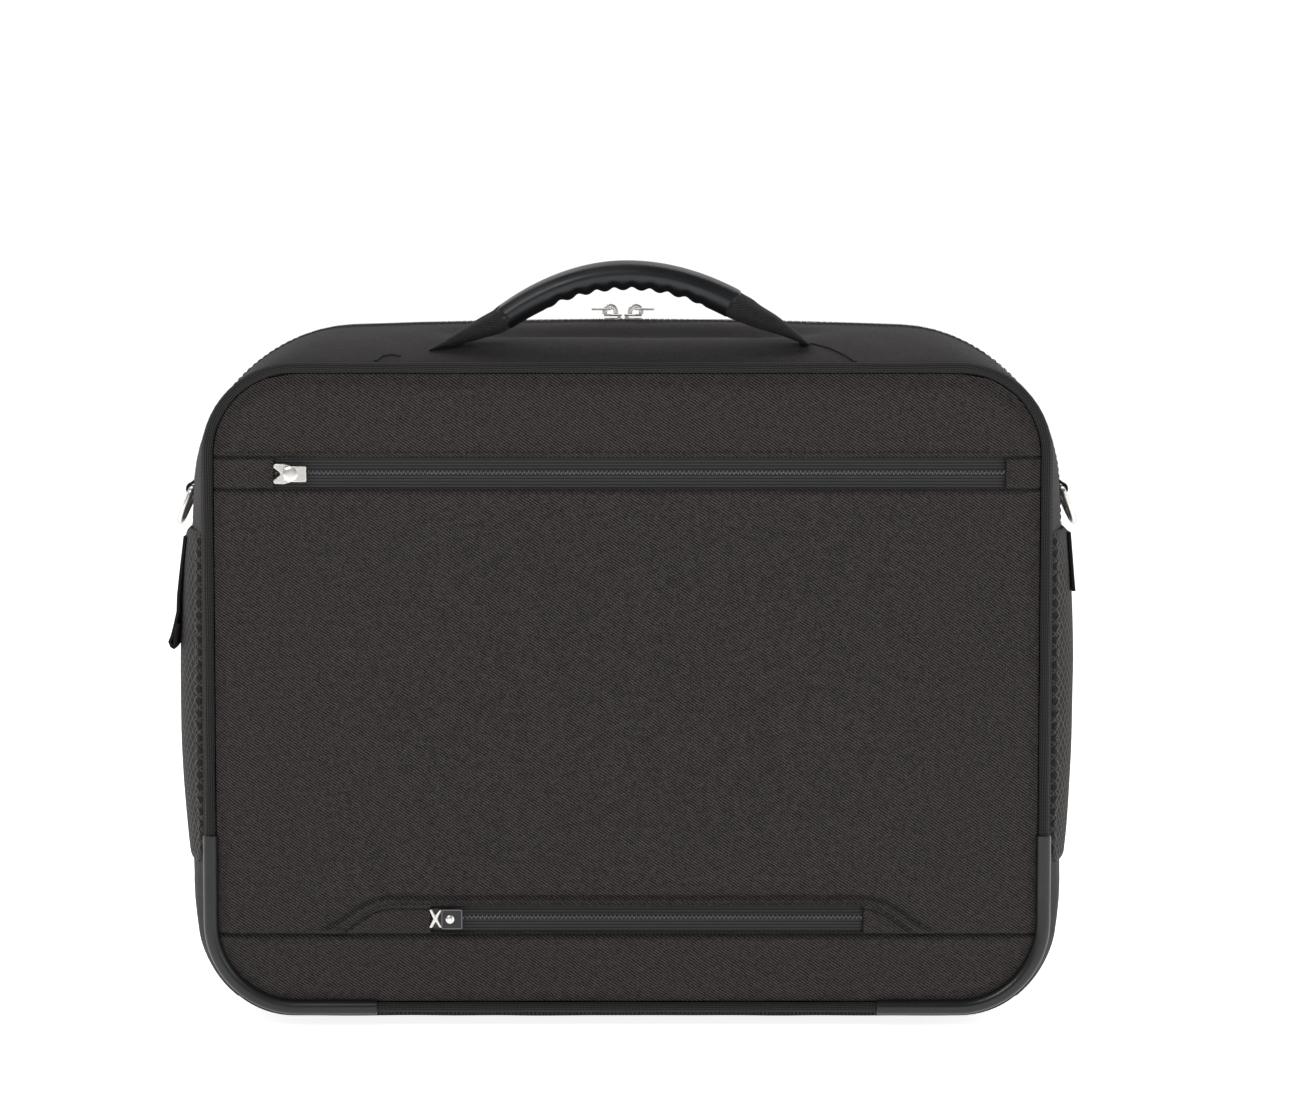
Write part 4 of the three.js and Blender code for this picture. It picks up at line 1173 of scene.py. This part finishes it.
def build_side_panels():
    step = DIAMOND / 4
    for part_name, (y0, y1, top, body) in SIDES.items():
        for side, sign in (("right", 1), ("left", -1)):
            rows, uv_rows = [], []
            z_count = round((top - SIDE_BOTTOM) / step)
            y_count = round((y1 - y0) / step)
            for z in steps(SIDE_BOTTOM, top, z_count):
                round_off = 14.0
                low = z - SIDE_BOTTOM
                pull = round_off - math.sqrt(max(0, round_off ** 2 - (round_off - min(low, round_off)) ** 2))
                row = []
                for y in steps(y0, y1, y_count):
                    middle = (y0 + y1) / 2
                    squeeze = 1 - pull / ((y1 - y0) / 2)
                    row.append(side_point(y0, y1, top, middle + (y - middle) * squeeze, z, sign))
                rows.append(row)
                uv_rows.append([(p.y, p.z) for p in row])
            panel = grid_piece(f"{part_name}_side_{side}_fabric", rows, uv_rows, [EMBOSS], flip=sign < 0)
            thicken(panel, 2.6)
            finish_piece(panel, body, "embossed_fabric", f"{part_name}_side_panel_{side}")
            build_side_seams(part_name, side, sign, y0, y1, top, body)


def build_side_seams(part_name, side, sign, y0, y1, top, body):
    """The zigzag beside the piping."""
    out = Vector((sign, 0, 0))
    zig, places = 1.7, []
    edge_y = y0 + 3.4 if part_name == "front" else y1 - 3.4
    heights = steps(SIDE_BOTTOM + 8, top - 4, round((top - SIDE_BOTTOM - 12) / 2.6))
    for k, (a, b) in enumerate(zip(heights, heights[1:])):
        first, second = (-zig, zig) if k % 2 else (zig, -zig)
        start = side_point(y0, y1, top, edge_y + first, a, sign) + out * 0.4
        end = side_point(y0, y1, top, edge_y + second, b, sign) + out * 0.4
        places.append((start, end, out))
    stitches(f"{part_name}_side_{side}_zigzag", places, body, "embossed_fabric", THREAD_PALE, radius=0.32)


# ---------------------------------------------------------------- webbing, tabs and D-rings


def strap_along(name, points, width, thickness, body, *nodes):
    """Webbing whose path lies across the case's sides and whose width runs from front to back."""
    def section(i, share):
        return [(b, a) for a, b in flat_profile(width, thickness)]

    strap = sweep(name, points, Vector((0, 1, 0)), section, [WEBBING])
    flip_faces(strap)
    return finish_piece(strap, body, "webbing", *nodes)


def build_ring_and_loop(side, sign):
    """A D-ring and the webbing that folds round its straight side."""
    section = section_at(RING_Y)
    wall = section["half"] + padding(section, section["half"], RING_Z)[0]
    path = [(wall + 0.3, RING_Z + 16), (wall + 0.6, RING_Z + 10), (wall + 1.7, RING_Z + 6)]
    for angle in steps(75, -160, 14):
        turn = math.radians(angle)
        path.append((RING_X + 2.8 * math.cos(turn), RING_Z + 2.8 * math.sin(turn)))
    path += [(wall + 0.6, RING_Z - 4), (wall + 0.3, RING_Z - 9)]
    points = [Vector((sign * x, RING_Y, z)) for x, z in path]
    strap_along(f"ring_loop_{side}_webbing", points, 15.6, 1.4, "case", f"d_ring_loop_{side}")

    half, leg, corner = 12.0, 6.0, 2.2
    outline = []
    for centre, angles in ((half - corner, steps(0, 90, 5)), (corner - half, steps(90, 180, 5))):
        for angle in angles:
            turn = math.radians(angle)
            outline.append((centre + corner * math.cos(turn), corner * math.sin(turn) - corner))
    for angle in steps(180, 360, 22):
        turn = math.radians(angle)
        outline.append((half * math.cos(turn), half * math.sin(turn) - leg))
    lean = Matrix.Rotation(-RING_LEAN * sign, 3, "Y")
    place = Vector((sign * RING_X, RING_Y, RING_Z))
    points = [place + lean @ Vector((0, y, z)) for y, z in outline]
    wire = ring_profile(1.75, sides=14)
    ring = sweep(f"d_ring_{side}_metal", points, lean @ Vector((1, 0, 0)), lambda i, s: wire, [NICKEL],
                 comes_round=True)
    flip_faces(ring)
    finish_piece(ring, f"ring_{side}", "nickel", f"d_ring_{side}")


def build_webbing():
    """The D-rings with their loops, and the tabs on the sides."""
    build_ring_and_loop("right", 1)
    build_ring_and_loop("left", -1)
    # The left tab hangs along the side panel and ends in a small standing loop.
    loop = [(-0.4, 238), (-0.2, 222), (0.6, 209), (1.4, 201), (2.6, 194.5), (4.0, 189), (4.5, 186),
            (4.0, 183.8),
            (3.0, 183), (2.2, 184), (2.0, 187.5), (1.5, 195)]
    strap_on_side("side_tab_left_webbing", -1, loop, "side_tab_left")
    strap_on_side("side_tab_right_webbing", 1, [(-0.4, 240), (0.0, 230), (0.2, 220), (0.2, 211)])


def strap_on_side(name, sign, path, *nodes):
    """Webbing over a front side panel. path holds (stand-off from the panel, height)."""
    y0, y1, top, body = SIDES["front"]
    points = []
    for stand, z in path:
        point = side_point(y0, y1, top, TAB_Y, min(z, top - 4), sign)
        points.append(Vector((point.x + sign * stand, TAB_Y, z)))
    strap_along(name, points, 22, 1.6, body, *nodes)


# ---------------------------------------------------------------- carry handle

GRIP_LEFT, GRIP_RIGHT, GRIP_HALF, GRIP_MID_Z = -60.7, 52.4, 58.0, 365.8
# (distance from the handle's middle, height, half thickness) down each sleeve to its sewn tip
SLEEVES = {
    "left": (-1, [(58.5, 346.6, 6.0), (61, 344.6, 6.0), (66, 342.0, 5.5), (72, 339.4, 4.7), (78, 336.9, 3.8),
                  (85, 334.0, 2.6), (91, 331.6, 1.5), (96, 329.6, 0.6)]),
    "right": (1, [(50, 352.6, 6.7), (53, 351.2, 6.8), (58, 348.5, 6.3), (62, 346.4, 5.7), (68, 343.6, 4.9),
                  (73, 341.2, 4.0), (79, 338.0, 2.7), (84, 335.0, 1.7), (88.5, 332.2, 0.7)]),
}


def grip_drop(u):
    """How far the grip's line has fallen by u; its left end falls a little faster."""
    return (19.4 if u < 0 else 17.4) * (u / GRIP_HALF) ** 2


def grip_height(u):
    return GRIP_MID_Z - grip_drop(u)


def grip_slope(u):
    return -2 * grip_drop(u) / u if abs(u) > 0.01 else 0.0


def handle_ring(u, height, slope, section):
    """Points square to the handle's line. section is a list of (across, up) offsets."""
    lean = math.atan(slope)
    return [Vector((u - b * math.sin(lean), HANDLE_Y + a, height + b * math.cos(lean))) for a, b in section]


def loft_rings(name, rings, materials, sharp=50):
    """A closed solid through rings of points, with flat ends."""
    count = len(rings[0])
    verts = [p for ring in rings for p in ring]
    faces, face_uvs = [], []
    travelled = 0.0
    for r in range(len(rings) - 1):
        length = sum((rings[r + 1][k] - rings[r][k]).length for k in range(count)) / count
        around = 0.0
        for a in range(count):
            b = (a + 1) % count
            width = (rings[r][b] - rings[r][a]).length
            faces.append((r * count + a, r * count + b, (r + 1) * count + b, (r + 1) * count + a))
            face_uvs.append([(travelled, around), (travelled, around + width),
                             (travelled + length, around + width), (travelled + length, around)])
            around += width
        travelled += length
    last = (len(rings) - 1) * count
    for face in (tuple(reversed(range(count))), tuple(last + a for a in range(count))):
        faces.append(face)
        face_uvs.append([(verts[v].y, verts[v].z) for v in face])
    obj = make_mesh(name, verts, faces, face_uvs, materials, sharp=sharp)
    flip_faces(obj)
    return obj


def grip_section(u):
    """The rubber grip's section: finger hollows underneath and a raised line along its upper rim."""
    out = u / GRIP_HALF
    pitch = 9.4
    half_thick = 7.3 - (0.9 if u < 0 else -0.1) * min(1.1, out * out)
    fingers = 1 - smooth(37, 43, abs(u + 1))
    hollow = fingers * (1.25 + 0.35 * math.sin(u * 0.7)) * (0.5 - 0.5 * math.cos(2 * math.pi * (u + 2) / pitch))
    end_roll = 0.6 * smooth(1.2, 0.0, min(u - GRIP_LEFT, GRIP_RIGHT - u))
    section = []
    sides = 32
    for k in range(sides):
        angle = 2 * math.pi * k / sides
        c, s = math.cos(angle), math.sin(angle)
        under = clamp01(-s * 1.4 - 0.2)
        ridge = 0.5 * bell(0.72, 0.09, s)
        radius_up = half_thick - end_roll - under * hollow + ridge
        section.append(((8.9 + ridge - end_roll) * c * (1 - 0.12 * max(0, -s)), radius_up * s))
    return section


def along_table(table, share):
    """A smooth value between a table's rows, for a share of the way through it."""
    place = share * (len(table) - 1)
    k = min(int(place), len(table) - 2)
    t = place - k
    rows = [table[max(0, min(len(table) - 1, k + step))] for step in (-1, 0, 1, 2)]
    values = []
    for a, b, c, d in zip(*rows):
        bend, twist = 2 * a - 5 * b + 4 * c - d, 3 * b - a - 3 * c + d
        values.append(0.5 * (2 * b + (c - a) * t + bend * t ** 2 + twist * t ** 3))
    return values


def build_sleeve(side):
    """A gathered fabric sleeve from the grip's end down to its sewn tip in the top."""
    sign, table = SLEEVES[side]
    rings = []
    for share in steps(0, 1, 40):
        u, height, half_thick = along_table(table, share)
        before, after = along_table(table, max(0, share - 0.02)), along_table(table, min(1, share + 0.02))
        slope = (after[1] - before[1]) / (after[0] - before[0])
        half_wide = lerp(9.1, 5.4, share)
        section = []
        for k, (a, b) in enumerate(ring_profile(half_wide, half_thick, sides=40,
                                                power=lerp(1.0, 0.85, share))):
            pucker = 0.22 * math.sin(k * 2 * math.pi / 40 * 7 + share * 6) * smooth(0.1, 0.3,
                                                                                    share) * (1 - share)
            fold = 0.3 * math.sin(share * 19 + sign + k * 0.16) * math.exp(-share * 2.4) * smooth(0.05,
                                                                                                  0.16, share)
            section.append((a * (1 + (fold + pucker) / 9), b * (1 + (fold + pucker) / 7)))
        rings.append(handle_ring(sign * u, height, sign * slope, section))
    sleeve = loft_rings(f"handle_sleeve_{side}_fabric", rings, [TWILL_FINE])
    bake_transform(sleeve)
    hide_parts(f"handle_sleeve_{side}", f"handle_anchor_{side}")


def build_sleeve_seam(side, path):
    """The sleeve's seam, which runs on over the top to the piping."""
    points = []
    for (ax, ay), (bx, by) in zip(path, path[1:]):
        for t in steps(0, 1, 8)[:-1]:
            x, y = lerp(ax, bx, t), lerp(ay, by, t)
            section = section_at(y)
            points.append(Vector((x, y, section["top"] + padding(section, x, section["top"])[1] + 0.25)))
    welt = sweep(f"sleeve_seam_{side}", points, Vector((0, 0, 1)), lambda i,
                 s: ring_profile(0.85, 0.6, sides=10), [TWILL_SOFT])
    flip_faces(welt)
    finish_piece(welt, "front_section", "twill")
    places = stitch_run([p + Vector((0, 1.9, 0.05)) for p in points], Vector((0, 0, 1)))
    stitches(f"sleeve_seam_{side}_stitching", places, "front_section", "twill")


def build_handle():
    """The carry handle: its grip, two sleeves and their seams."""
    rings = []
    for u in steps(GRIP_LEFT, GRIP_RIGHT, 150):
        rings.append(handle_ring(u, grip_height(u), grip_slope(u), grip_section(u)))
    grip = loft_rings("handle_grip_rubber", rings, [GRIP], sharp=60)
    finish_piece(grip, "carry_handle", "grip_rubber", "handle_grip")
    build_sleeve("right")
    build_sleeve("left")
    build_sleeve_seam("right", [(84, -64), (92, -66), (99, -71), (106, -79), (111, -87)])
    build_sleeve_seam("left", [(-110, -80), (-114, -78), (-119, -80), (-122, -86)])


# ---------------------------------------------------------------- small hardware


def plate_piece(name, outline, c0, c1, place, materials, bevel=0.4, holes=()):
    """A flat piece from an outline and its holes in (a, b), with thickness from c0 to c1.

    place turns (a, b, c) into a point of the case.
    """
    shape = bmesh.new()
    edges = []
    for loop in (outline, *holes):
        verts = [shape.verts.new((a, b, c0)) for a, b in loop]
        edges += [shape.edges.new((verts[k], verts[(k + 1) % len(verts)])) for k in range(len(verts))]
    flat = bmesh.ops.triangle_fill(shape, edges=edges, use_beauty=True, use_dissolve=True)["geom"]
    faces = [g for g in flat if isinstance(g, bmesh.types.BMFace)]
    made = bmesh.ops.extrude_face_region(shape, geom=faces)["geom"]
    bmesh.ops.translate(shape, vec=(0, 0, c1 - c0),
                        verts=[g for g in made if isinstance(g, bmesh.types.BMVert)])
    layer = shape.loops.layers.uv.new("metric")
    for face in shape.faces:
        for loop in face.loops:
            loop[layer].uv = (loop.vert.co.x, loop.vert.co.y)
    for vert in shape.verts:
        vert.co = place(*vert.co) * MM
    bmesh.ops.recalc_face_normals(shape, faces=shape.faces)
    mesh = bpy.data.meshes.new(name)
    shape.to_mesh(mesh)
    shape.free()
    for material in materials:
        mesh.materials.append(material)
    for polygon in mesh.polygons:
        polygon.use_smooth = True
    mesh.set_sharp_from_angle(angle=math.radians(40))
    obj = bpy.data.objects.new(name, mesh)
    bpy.context.scene.collection.objects.link(obj)
    if bevel:
        round_edges(obj, bevel, segments=2, angle=40)
    return obj


def rounded_box(a0, a1, b0, b1, radius, corner_steps=5):
    points = []
    for ca, cb, first in ((a1 - radius, b0 + radius, -90), (a1 - radius, b1 - radius, 0),
                          (a0 + radius, b1 - radius, 90), (a0 + radius, b0 + radius, 180)):
        for angle in steps(first, first + 90, corner_steps):
            turn = math.radians(angle)
            points.append((ca + radius * math.cos(turn), cb + radius * math.sin(turn)))
    return points


def circle(radius, centre=(0, 0), sides=28):
    return [(centre[0] + radius * math.cos(2 * math.pi * k / sides),
             centre[1] + radius * math.sin(2 * math.pi * k / sides))
            for k in range(sides)]


def turned(name, profile, place, materials, sides=48, closed=True, sharp=35):
    """A piece turned about its own c axis, from (radius, c) points. A closed profile makes a ring."""
    verts, faces, uvs = [], [], []
    count = len(profile)
    for k in range(sides):
        angle = 2 * math.pi * k / sides
        for radius, c in profile:
            verts.append(place(radius * math.cos(angle), radius * math.sin(angle), c))
            uvs.append((k * 2 * math.pi * max(p[0] for p in profile) / sides, radius + c))
    for k in range(sides):
        m = (k + 1) % sides
        for a in range(count if closed else count - 1):
            b = (a + 1) % count
            faces.append((k * count + a, m * count + a, m * count + b, k * count + b))
    if not closed:
        faces.append(tuple(k * count for k in range(sides)))
        faces.append(tuple(k * count + count - 1 for k in range(sides)))
    obj = make_mesh(name, verts, faces, uvs, materials, sharp=sharp)
    flip_faces(obj)
    return obj


def joined(pieces, name):
    """Several pieces as one object."""
    for piece in pieces:
        bake(piece)
    base = pieces[0]
    shape = bmesh.new()
    materials = list(base.data.materials)
    for piece in pieces:
        indices = []
        for material in piece.data.materials:
            if material not in materials:
                materials.append(material)
            indices.append(materials.index(material))
        for polygon in piece.data.polygons:
            polygon.material_index = indices[polygon.material_index]
        shape.from_mesh(piece.data)
    mesh = bpy.data.meshes.new(name)
    shape.to_mesh(mesh)
    shape.free()
    for material in materials:
        mesh.materials.append(material)
    for piece in pieces:
        bpy.data.objects.remove(piece)
    obj = bpy.data.objects.new(name, mesh)
    bpy.context.scene.collection.objects.link(obj)
    return obj


def dome(name, radius, height, c, centre, place, material):
    """A shallow round stud."""
    profile = [(radius, c), (radius, c + height * 0.35), (radius * 0.86, c + height * 0.72),
               (radius * 0.5, c + height * 0.95), (0.05, c + height)]
    return turned(name, profile, lambda a, b, d: place(a + centre[0], b + centre[1], d), [material],
                  sides=28, closed=False)


def build_pocket_slider(name, data):
    """A cast slider with a forked nose, and its puller lying flat towards the closed end."""
    base_y = -93.7

    def place(a, b, c):
        return Vector((data["slider"] + a, base_y - c, data["teeth"] - 0.6 + b))

    nose = [(-4.6, -4.3), (-3.9, -4.9), (0.5, -5.0), (3.4, -4.2), (4.4, -2.6), (4.4, 2.6), (3.4, 4.2),
            (0.5, 5.0), (-3.9, 4.9),
            (-4.6, 4.3), (-4.6, 2.9), (-2.0, 1.1), (-1.2, 0), (-2.0, -1.1), (-4.6, -2.9)]
    cross = [(-4.9, -4.4), (-3.5, -4.7), (-1.7, -1.5), (0.3, -4.6), (1.6, -4.2), (-0.6, 0), (1.6, 4.2),
             (0.3, 4.6),
             (-1.7, 1.5), (-3.5, 4.7), (-4.9, 4.4), (-2.8, 0)]
    top = nose if name == "upper" else cross
    under = NICKEL if name == "upper" else TAG
    lower = plate_piece(f"{name}_slider_base", nose, 0.0, 1.0, place, [under], 0.3)
    upper = plate_piece(f"{name}_slider_top", top, 1.5, 2.5, place, [NICKEL], 0.4)
    post = plate_piece(f"{name}_slider_post", rounded_box(-0.4, 2.6, -1.0, 1.0, 0.5), 0.9, 1.6, place,
                       [under], 0)
    slider = joined([upper, lower, post], f"{name}_zip_slider_metal")
    finish_piece(slider, f"{name}_slider", "nickel", f"{name}_zip_slider")

    if name == "upper":
        collar = rounded_box(0.2, 5.4, -3.6, 3.6, 1.6)
        tail = rounded_box(4.2, 11.4, -3.9, 3.9, 0.5, 2)
        pieces = [
            plate_piece("collar", collar, 3.4, 4.5, place, [NICKEL], 0.3),
            plate_piece("tail", tail, 3.5, 4.7, place, [NICKEL], 0.35),
            dome("stud", 3.8, 0.8, 4.2, (3.9, 0), place, NICKEL),
        ]
    else:
        tag = rounded_box(1.2, 11.4, -4.8, 4.8, 0.8)
        rim = rounded_box(1.7, 10.9, -4.3, 4.3, 0.6)
        pieces = [
            plate_piece("tag", tag, 3.5, 4.5, place, [TAG], 0.3),
            plate_piece("rim", tag, 4.3, 4.65, place, [COIL], 0.1, holes=[rim]),
            dome("stud", 2.1, 0.7, 4.45, (5.4, 0), place, NICKEL),
        ]
    puller = joined(pieces, f"{name}_zip_puller_metal")
    finish_piece(puller, f"{name}_puller", "nickel", f"{name}_zip_puller")


def build_main_sliders():
    """Two sliders that meet nose to nose on the main zip, each with a bail and a short puller."""
    base = CROWN_SECTION["top"] + CROWN_SECTION["arch"] + 2.2
    for side, sign in (("left", -1), ("right", 1)):
        def place(a, b, c):
            return Vector((MEETING_X + sign * (a + 5.2), ZIP_Y + b, base + c))

        shoe = [(-4.7, -1.8), (-3.2, -3.4), (1.6, -4.0), (4.3, -3.2), (4.3, 3.2), (1.6, 4.0), (-3.2, 3.4),
                (-4.7, 1.8)]
        lower = plate_piece(f"shoe_{side}", shoe, -1.9, -0.7, place, [NICKEL], 0.4)
        upper = plate_piece(f"cap_{side}", shoe, 0.1, 1.2, place, [NICKEL], 0.5)
        neck = plate_piece(f"neck_{side}", rounded_box(-4.2, -2.4, -0.8, 0.8, 0.4), -0.8, 0.2, place,
                           [NICKEL], 0)
        arch = [place(-1.7, 0, 1.0)]
        for angle in steps(180, 0, 14):
            turn = math.radians(angle)
            arch.append(place(1.1 + 2.8 * math.cos(turn), 0, 2.2 + 3.0 * math.sin(turn)))
        arch.append(place(3.9, 0, 1.0))
        bail = sweep(f"bail_{side}", arch, Vector((0, 1, 0)), lambda i, s: flat_profile(2.4, 1.2, 0.4),
                     [NICKEL])
        flip_faces(bail)
        slider = joined([lower, upper, neck, bail], f"main_zip_slider_{side}_metal")
        finish_piece(slider, f"main_slider_{side}", "nickel", f"main_zip_slider_{side}")

        tag = rounded_box(0.5, 10.6, -3.4, 3.4, 1.2)
        eye = rounded_box(1.5, 5.3, -2.0, 2.0, 0.8)
        puller = plate_piece(f"main_zip_puller_{side}_metal", tag, 3.1, 4.2, place, [NICKEL], 0.35,
                             holes=[eye])
        finish_piece(puller, f"main_puller_{side}", "nickel", f"main_zip_puller_{side}")


# ---------------------------------------------------------------- back, trolley and wheels


def build_back_panel():
    """The back panel, stretched flat with two quilted lines."""
    outline = inset_section(BACK_SECTION, 3.4)
    columns = steps(-outline["half"], outline["half"], 130)
    rows, uv_rows = [], []
    for z in steps(outline["bottom"], outline["top"], 100):
        width = rounded_half_width(outline, z) / outline["half"]
        row = []
        for column in columns:
            x = column * width
            edge = edge_distance(outline, x, z)
            swell = 2.2 * smooth(0, 8, edge) + 0.6 * smooth(10, 120, edge) + 0.3 * fabric_noise(x, 90, z, 55)
            quilt = 0.9 * bell(0, 1.0, abs(x) - 118) * smooth(70, 84, z) * (1 - smooth(272, 286, z))
            row.append(Vector((x, min(93.3, 90.6 + swell - quilt), z)))
        rows.append(row)
        uv_rows.append([(-p.x, p.z) for p in row])
    panel = grid_piece("back_panel_fabric", rows, uv_rows, [TWILL, LINING], flip=True)
    close_back(panel, 88.6)
    carve(panel, *HOUSING_CUTS)
    finish_piece(panel, "case", "twill", "back_panel")


def build_trolley():
    """The telescopic handle: bezel, grip, release button and six tubes."""
    def upright(a, b, c):
        return Vector((a, b, c))

    # The bezel: a moulded tray let into the top, with a rolled rim.
    rim_outer = rounded_box(-91.8, 91.8, 64.1, 87.7, 5)
    rim_inner = rounded_box(-88.8, 88.8, 67.1, 84.7, 3)
    holes = [rounded_box(x - 11.3, x + 11.3, TUBE_Y - 7.3, TUBE_Y + 7.3, 2) for x in (-TUBE_X, TUBE_X)]
    wall = plate_piece("bezel_wall", rim_outer, 297, 325.2, upright, [PLASTIC], 0.9, holes=[rim_inner])
    floor = plate_piece("bezel_floor", rim_outer, 296, 299, upright, [PLASTIC], 0.4, holes=holes)
    bezel = joined([wall, floor], "trolley_bezel_moulding")
    finish_piece(bezel, "case", "black_plastic", "trolley_bezel")

    # The pull grip: a bar with rounded edges and a recess for the button.
    pocket = rounded_box(-14.6, 14.6, TUBE_Y - 4.6, TUBE_Y + 4.6, 2)
    bar = rounded_box(-86.8, 86.8, TUBE_Y - 7.4, TUBE_Y + 7.4, 5.5)
    lower = plate_piece("grip_lower", bar, 304.3, 316.4, upright, [PLASTIC], 1.0)
    upper = plate_piece("grip_upper", bar, 316.2, 322.4, upright, [PLASTIC], 1.6, holes=[pocket])
    grip = joined([lower, upper], "trolley_grip_moulding")
    finish_piece(grip, "trolley_top", "black_plastic", "trolley_grip")
    button = plate_piece("release_button_rubber", rounded_box(-13.9, 13.9, TUBE_Y - 3.9, TUBE_Y + 3.9, 3),
                         319.1, 323.6, upright, [GUARD], 0.8)
    finish_piece(button, "release_button", "guard_rubber", "trolley_button")

    for side, x in (("left", -TUBE_X), ("right", TUBE_X)):
        for stage, body, wide, deep, z0, z1 in (
            ("outer", "case", 22, 14, 22, 299.4),
            ("mid", "trolley_mid", 18.8, 10.8, 26, 302),
            ("top", "trolley_top", 15.6, 7.6, 30, 304.4),
        ):
            outside = rounded_box(x - wide / 2, x + wide / 2, TUBE_Y - deep / 2, TUBE_Y + deep / 2, 2.4)
            inside = rounded_box(x - wide / 2 + 1.3, x + wide / 2 - 1.3, TUBE_Y - deep / 2 + 1.3,
                                 TUBE_Y + deep / 2 - 1.3, 1.2)
            tube = plate_piece(f"trolley_{stage}_tube_{side}_metal", outside, z0, z1, upright, [ALUMINIUM],
                               0.2, holes=[inside])
            finish_piece(tube, body, "aluminium", f"trolley_{stage}_tube_{side}")


def build_wheels():
    """Two wheels, each a grooved tyre on a spoked hub."""
    for side, sign in (("left", -1), ("right", 1)):
        def place(a, b, c):
            return Vector((sign * (WHEEL_X + c), WHEEL_Y + a, WHEEL_RADIUS + b))

        tread = [(15.8, -9.9), (23.5, -9.9), (25.4, -9.2), (26.6, -7.6), (26.9, -5.6)]
        for groove in (-3.0, 0.0, 3.0):
            tread += [(26.95, groove - 0.7), (25.9, groove - 0.45), (25.9, groove + 0.45),
                      (26.95, groove + 0.7)]
        tread += [(26.9, 5.6), (26.6, 7.6), (25.4, 9.2), (23.5, 9.9), (15.8, 9.9)]
        tyre = turned(f"wheel_tyre_{side}_rubber", tread, place, [TYRE], sides=72, sharp=40)
        finish_piece(tyre, f"wheel_{side}", "tyre_rubber", f"wheel_tyre_{side}")

        spokes = 6
        windows = []
        for k in range(spokes):
            first = 2 * math.pi * k / spokes + 0.2
            last = 2 * math.pi * (k + 1) / spokes - 0.2
            window = [(12.2 * math.cos(t), 12.2 * math.sin(t)) for t in steps(first, last, 8)]
            window += [(6.6 * math.cos(t), 6.6 * math.sin(t)) for t in steps(last - 0.08, first + 0.08, 5)]
            windows.append(window)
        bore = circle(3.35, sides=28)
        disc = plate_piece("hub_disc", circle(15.4, sides=60), -3.0, 3.0, place, [PLASTIC], 0.3,
                           holes=[bore, *windows])
        rim = turned("hub_rim", [(13.0, -9.2), (15.4, -9.2), (15.4, 9.2), (13.0, 9.2)], place, [PLASTIC],
                     sides=60)
        boss = turned("hub_boss", [(3.35, -9.2), (5.8, -9.2), (5.8, 9.2), (3.35, 9.2)], place, [PLASTIC],
                      sides=36)
        hub = joined([disc, rim, boss], f"wheel_hub_{side}_moulding")
        finish_piece(hub, f"wheel_{side}", "black_plastic", f"wheel_hub_{side}")


# ---------------------------------------------------------------- camera, light, pieces

build_camera()
build_studio()
build_gussets()
build_bottom()
build_main_zip()
build_front_panel()
build_piping()
build_side_panels()
build_webbing()
build_handle()
build_pocket_slider("upper", UPPER_ZIP)
build_pocket_slider("lower", LOWER_ZIP)
build_main_sliders()
build_back_panel()
build_trolley()
build_wheels()

CAD_FINISHES = {
    "base_board": BOARD, "laptop_divider": LINING, "rear_lining": LINING, "trolley_bottom_bracket": PLASTIC,
    "wheel_axle_left": STEEL, "wheel_axle_right": STEEL,
    "wheel_housing_left": PLASTIC, "wheel_housing_right": PLASTIC,
    "foot_left": PLASTIC, "foot_right": PLASTIC,
}
for node_name, finish in CAD_FINISHES.items():
    node = NODES[node_name]
    node.data.materials.clear()
    node.data.materials.append(finish)
